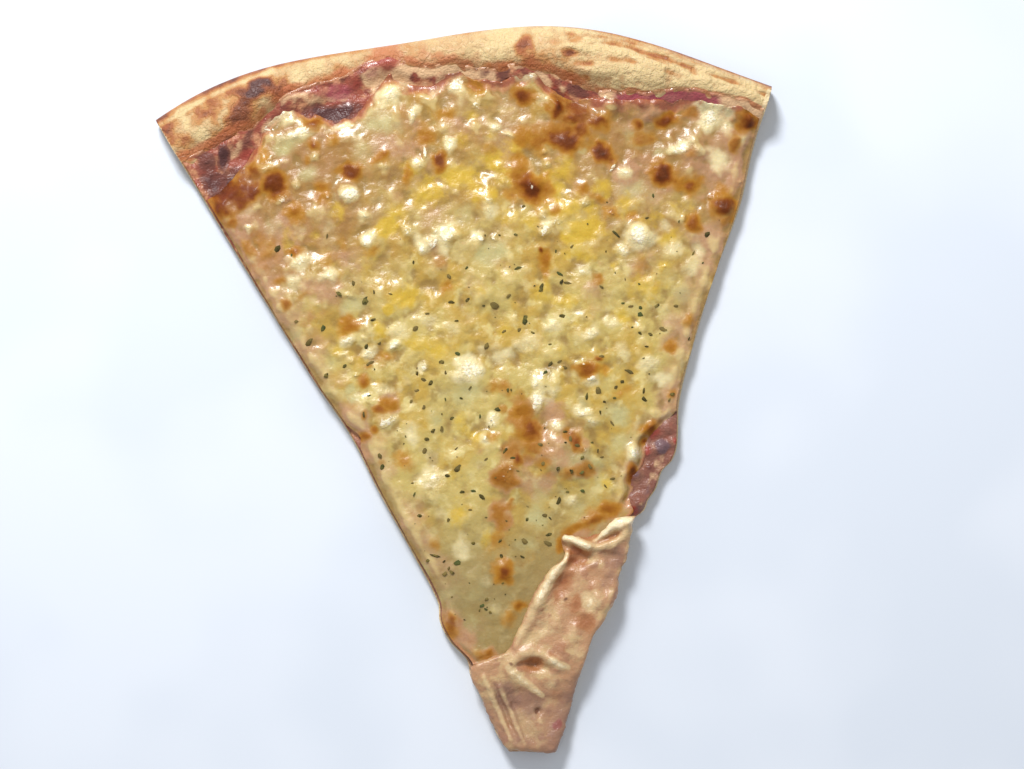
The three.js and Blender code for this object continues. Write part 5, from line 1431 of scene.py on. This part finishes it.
class PIZZA_OT_folded_tip(bpy.types.Operator):
    """Add the tip, folded back over the cheese with its torn edge rolled up"""

    bl_idname = "pizza.add_folded_tip"
    bl_label = "Folded tip"

    def execute(self, context):
        piece = flat_sheet("folded_tip", *FLAP_SHEET, FLAP_SHEET_MIDDLE, FLAP_CELL)
        x, y, _ = points(piece).T
        edit_chosen(piece, "vertices", flap_to_side(x, y) < 0)
        bpy.ops.mesh.delete(type="VERT")
        bpy.ops.object.mode_set(mode="OBJECT")
        apply_modifier(piece, "SOLIDIFY", thickness=1, offset=-1)
        co = points(piece)
        x, y, level = co[:, 0], co[:, 1], np.clip(1 + co[:, 2], 0, 1)
        co[:, 2] = mix(flap_under(x, y), flap_top(x, y), level)
        set_points(piece, co)
        apply_modifier(piece, "REMESH", mode="VOXEL", voxel_size=FLAP_VOXEL)
        apply_modifier(piece, "SMOOTH", factor=0.5, iterations=3)
        x, y, z = points(piece).T
        out = 0.16 * cloud(x + 0.7 * z, y + z, 3.2, 21, 3) + 0.05 * cloud(x + z, y - z, 1.1, 22, 1)
        set_points(piece, points(piece) + out[:, None] * normals(piece))
        self.colour(piece)
        set_in_frame(piece)
        piece.data.materials.append(folded_material(context.scene.pizza_slice.folded_colour))
        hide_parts("crust")
        return {"FINISHED"}

    def colour(self, piece):
        x, y, z = points(piece).T
        # Pale cut dough on the ridges' tops; the palest of it is painted highlight
        above = smooth(z - flap_level(x, y) - FLAP, -1.2, 0.4)
        pale = np.zeros_like(x)
        for paleness, line in FOLDS:
            pale = np.maximum(pale, paleness * along_line(x, y, line)[1] ** 1.4 * above)
        tip = 1 - smooth(y, 28, 42)
        side = 1 - smooth(flap_right(y) - x, 0, 5)
        paint(piece, "pale", np.maximum(pale, spots(x, y, FLAP_PALE, 0.3, 0, 1.5)))
        paint(piece, "soaked", spots(x, y, FLAP_SOAKED, 0.4, 0, 1.5))
        # Painted shade towards the tip, along the right edge and at the listed places
        paint(piece, "painted_shade", 0.55 * tip + 0.25 * side + spots(x, y, FLAP_SHADE, 0.3))
        paint(piece, "red", spots(x, y, FLAP_RED, 0.3))
        # Painted shade in the flap's pits
        paint(piece, "pit_shade", spots(x, y, SHADED_PITS))


class PIZZA_OT_herbs(bpy.types.Operator):
    """Strew the dried herb flakes"""

    bl_idname = "pizza.add_herbs"
    bl_label = "Herb flakes"

    def execute(self, context):
        settings = context.scene.pizza_slice
        deselect_all()
        bpy.ops.mesh.primitive_cylinder_add(
            vertices=settings.flake_corners, radius=0.5, depth=settings.flake_thickness / MM,
            location=(0, 0, 0))
        flake = bpy.context.object
        apply_modifier(flake, "BEVEL", width=0.035, segments=1)
        corners = points(flake)
        faces = [list(face.vertices) for face in flake.data.polygons]
        bpy.data.objects.remove(flake)
        draw = random_numbers(HERB_SEED)
        places = list(FLAKES)
        while len(places) < len(FLAKES) + settings.small_flakes:
            y = mix(*HERB_ZONE, next(draw))
            left, right = float(cheese_left(y)) + HERB_INSET, float(cheese_right(y)) - HERB_INSET
            x = mix(left, right, next(draw))
            if float(near_flap(x, y)) == 0:
                places.append((x, y, mix(*TINY_LENGTH, next(draw) ** 2), 180 * next(draw)))
        at = np.array([place[:2] for place in places])
        ground = cheese_top(at[:, 0], at[:, 1])
        everything, joined, shades = [], [], []
        for number, ((x, y, length, turn), height) in enumerate(zip(places, ground)):
            wide = mix(*FLAKE_WIDTH, next(draw)) if length < STALK_LENGTH else STALK_WIDTH
            flat = corners * [length, length * wide, 1]
            ragged = 1 + 0.35 * cloud(corners[:, 0] * 3 + number * 7, corners[:, 1] * 3, 1, 31, 2)
            flat[:, :2] *= ragged[:, None]
            curl = FLAKE_CURL * mix(-1, 1, next(draw))
            flat[:, 2] += curl * flat[:, 0] ** 2 / max(length, 1)
            lean = FLAKE_LEAN * mix(-1, 1, next(draw))
            flat[:, 2] += lean * flat[:, 1]
            u, v = turned(flat[:, 0], flat[:, 1], turn)
            start = len(everything) * len(corners)
            everything.append(np.column_stack([x + u, y + v, height + FLAKE_LIFT + flat[:, 2]]))
            joined += [[start + corner for corner in face] for face in faces]
            shades += [float(scramble(number * 977))] * len(corners)
        mesh = bpy.data.meshes.new("herb_flakes")
        mesh.from_pydata(np.concatenate(everything).tolist(), [], joined)
        piece = bpy.data.objects.new("herb_flakes", mesh)
        bpy.context.collection.objects.link(piece)
        paint(piece, "shade", shades)
        set_in_frame(piece)
        piece.data.materials.append(herb_material(settings.herb_colour))
        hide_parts("cheese")
        return {"FINISHED"}


class PIZZA_OT_stage(bpy.types.Operator):
    """Add the floor, the lights and the camera"""

    bl_idname = "pizza.add_stage"
    bl_label = "Stage"

    def execute(self, context):
        settings = context.scene.pizza_stage
        deselect_all()
        bpy.ops.mesh.primitive_plane_add(size=TABLE_SIZE, location=(0, 0, 0))
        floor = context.object
        floor.name = "table"
        material, tree, place = start_material("pale_matt_table")
        p = Painter(tree, place, linear("dde4ef"))
        p.lay("d6deea", p.noise(90, 2), 0.4, 0.6)
        surface = add_node(tree, "ShaderNodeBsdfPrincipled", {"Base Color": p.colour, "Roughness": 0.6})
        finish_material(tree, surface)
        floor.data.materials.append(material)
        world = bpy.data.worlds.new("soft_sky")
        world.use_nodes = True
        sky = world.node_tree.nodes["Background"]
        sky.inputs["Color"].default_value = (1, 1, 1, 1)
        sky.inputs["Strength"].default_value = settings.sky_strength
        context.scene.world = world
        self.light("window", WINDOW_PLACE, WINDOW_SIZE, settings.key_power)
        self.camera(settings)
        context.scene.view_settings.view_transform = "Standard"
        return {"FINISHED"}

    def light(self, name, place, size, power):
        bpy.ops.object.light_add(type="AREA", location=place)
        light = bpy.context.object
        light.name = name
        light.data.size = size
        light.data.energy = power
        light.rotation_euler = (-light.location).to_track_quat("-Z", "Y").to_euler()

    def camera(self, settings):
        """Looks down on the slice, rolled so that the rim leans as it lay."""
        bpy.ops.object.camera_add()
        camera = bpy.context.object
        camera.name = "camera"
        x, y, z = LOOKED_AT
        away = settings.camera_height - z
        tilt = settings.camera_tilt
        camera.location = (
            x + away * math.tan(tilt) * math.sin(CAMERA_ROLL),
            y - away * math.tan(tilt) * math.cos(CAMERA_ROLL),
            settings.camera_height,
        )
        camera.rotation_euler = (tilt, 0, CAMERA_ROLL)
        distance = away / math.cos(tilt)
        camera.data.sensor_width = SENSOR_WIDTH
        camera.data.lens = SENSOR_WIDTH * distance / (PICTURE_WIDTH * MM_PER_PIXEL * MM)
        bpy.context.scene.camera = camera


# ---- Panel and registration --------------------------------------------------------------------

PIECES = (
    PIZZA_OT_crust, PIZZA_OT_sauce, PIZZA_OT_cheese, PIZZA_OT_folded_tip, PIZZA_OT_herbs,
    PIZZA_OT_stage,
)


class PIZZA_PT_panel(bpy.types.Panel):
    """Holds the settings and adds the slice's pieces"""

    bl_idname = "PIZZA_PT_panel"
    bl_label = "Cheese pizza slice"
    bl_space_type = "VIEW_3D"
    bl_region_type = "UI"
    bl_category = "Pizza"

    def draw(self, context):
        for name in SliceSettings.__annotations__:
            self.layout.prop(context.scene.pizza_slice, name)
        for name in StageSettings.__annotations__:
            self.layout.prop(context.scene.pizza_stage, name)
        for piece in PIECES:
            self.layout.operator(piece.bl_idname)


CLASSES = (SliceSettings, StageSettings, *PIECES, PIZZA_PT_panel)


def register():
    for each in CLASSES:
        bpy.utils.register_class(each)
    bpy.types.Scene.pizza_slice = bpy.props.PointerProperty(type=SliceSettings)
    bpy.types.Scene.pizza_stage = bpy.props.PointerProperty(type=StageSettings)


def unregister():
    del bpy.types.Scene.pizza_stage
    del bpy.types.Scene.pizza_slice
    for each in reversed(CLASSES):
        bpy.utils.unregister_class(each)


def main():
    register()
    bpy.ops.pizza.add_crust()
    bpy.ops.pizza.add_sauce()
    bpy.ops.pizza.add_cheese()
    bpy.ops.pizza.add_folded_tip()
    bpy.ops.pizza.add_herbs()
    bpy.ops.pizza.add_stage()


if __name__ == "__main__":
    main()
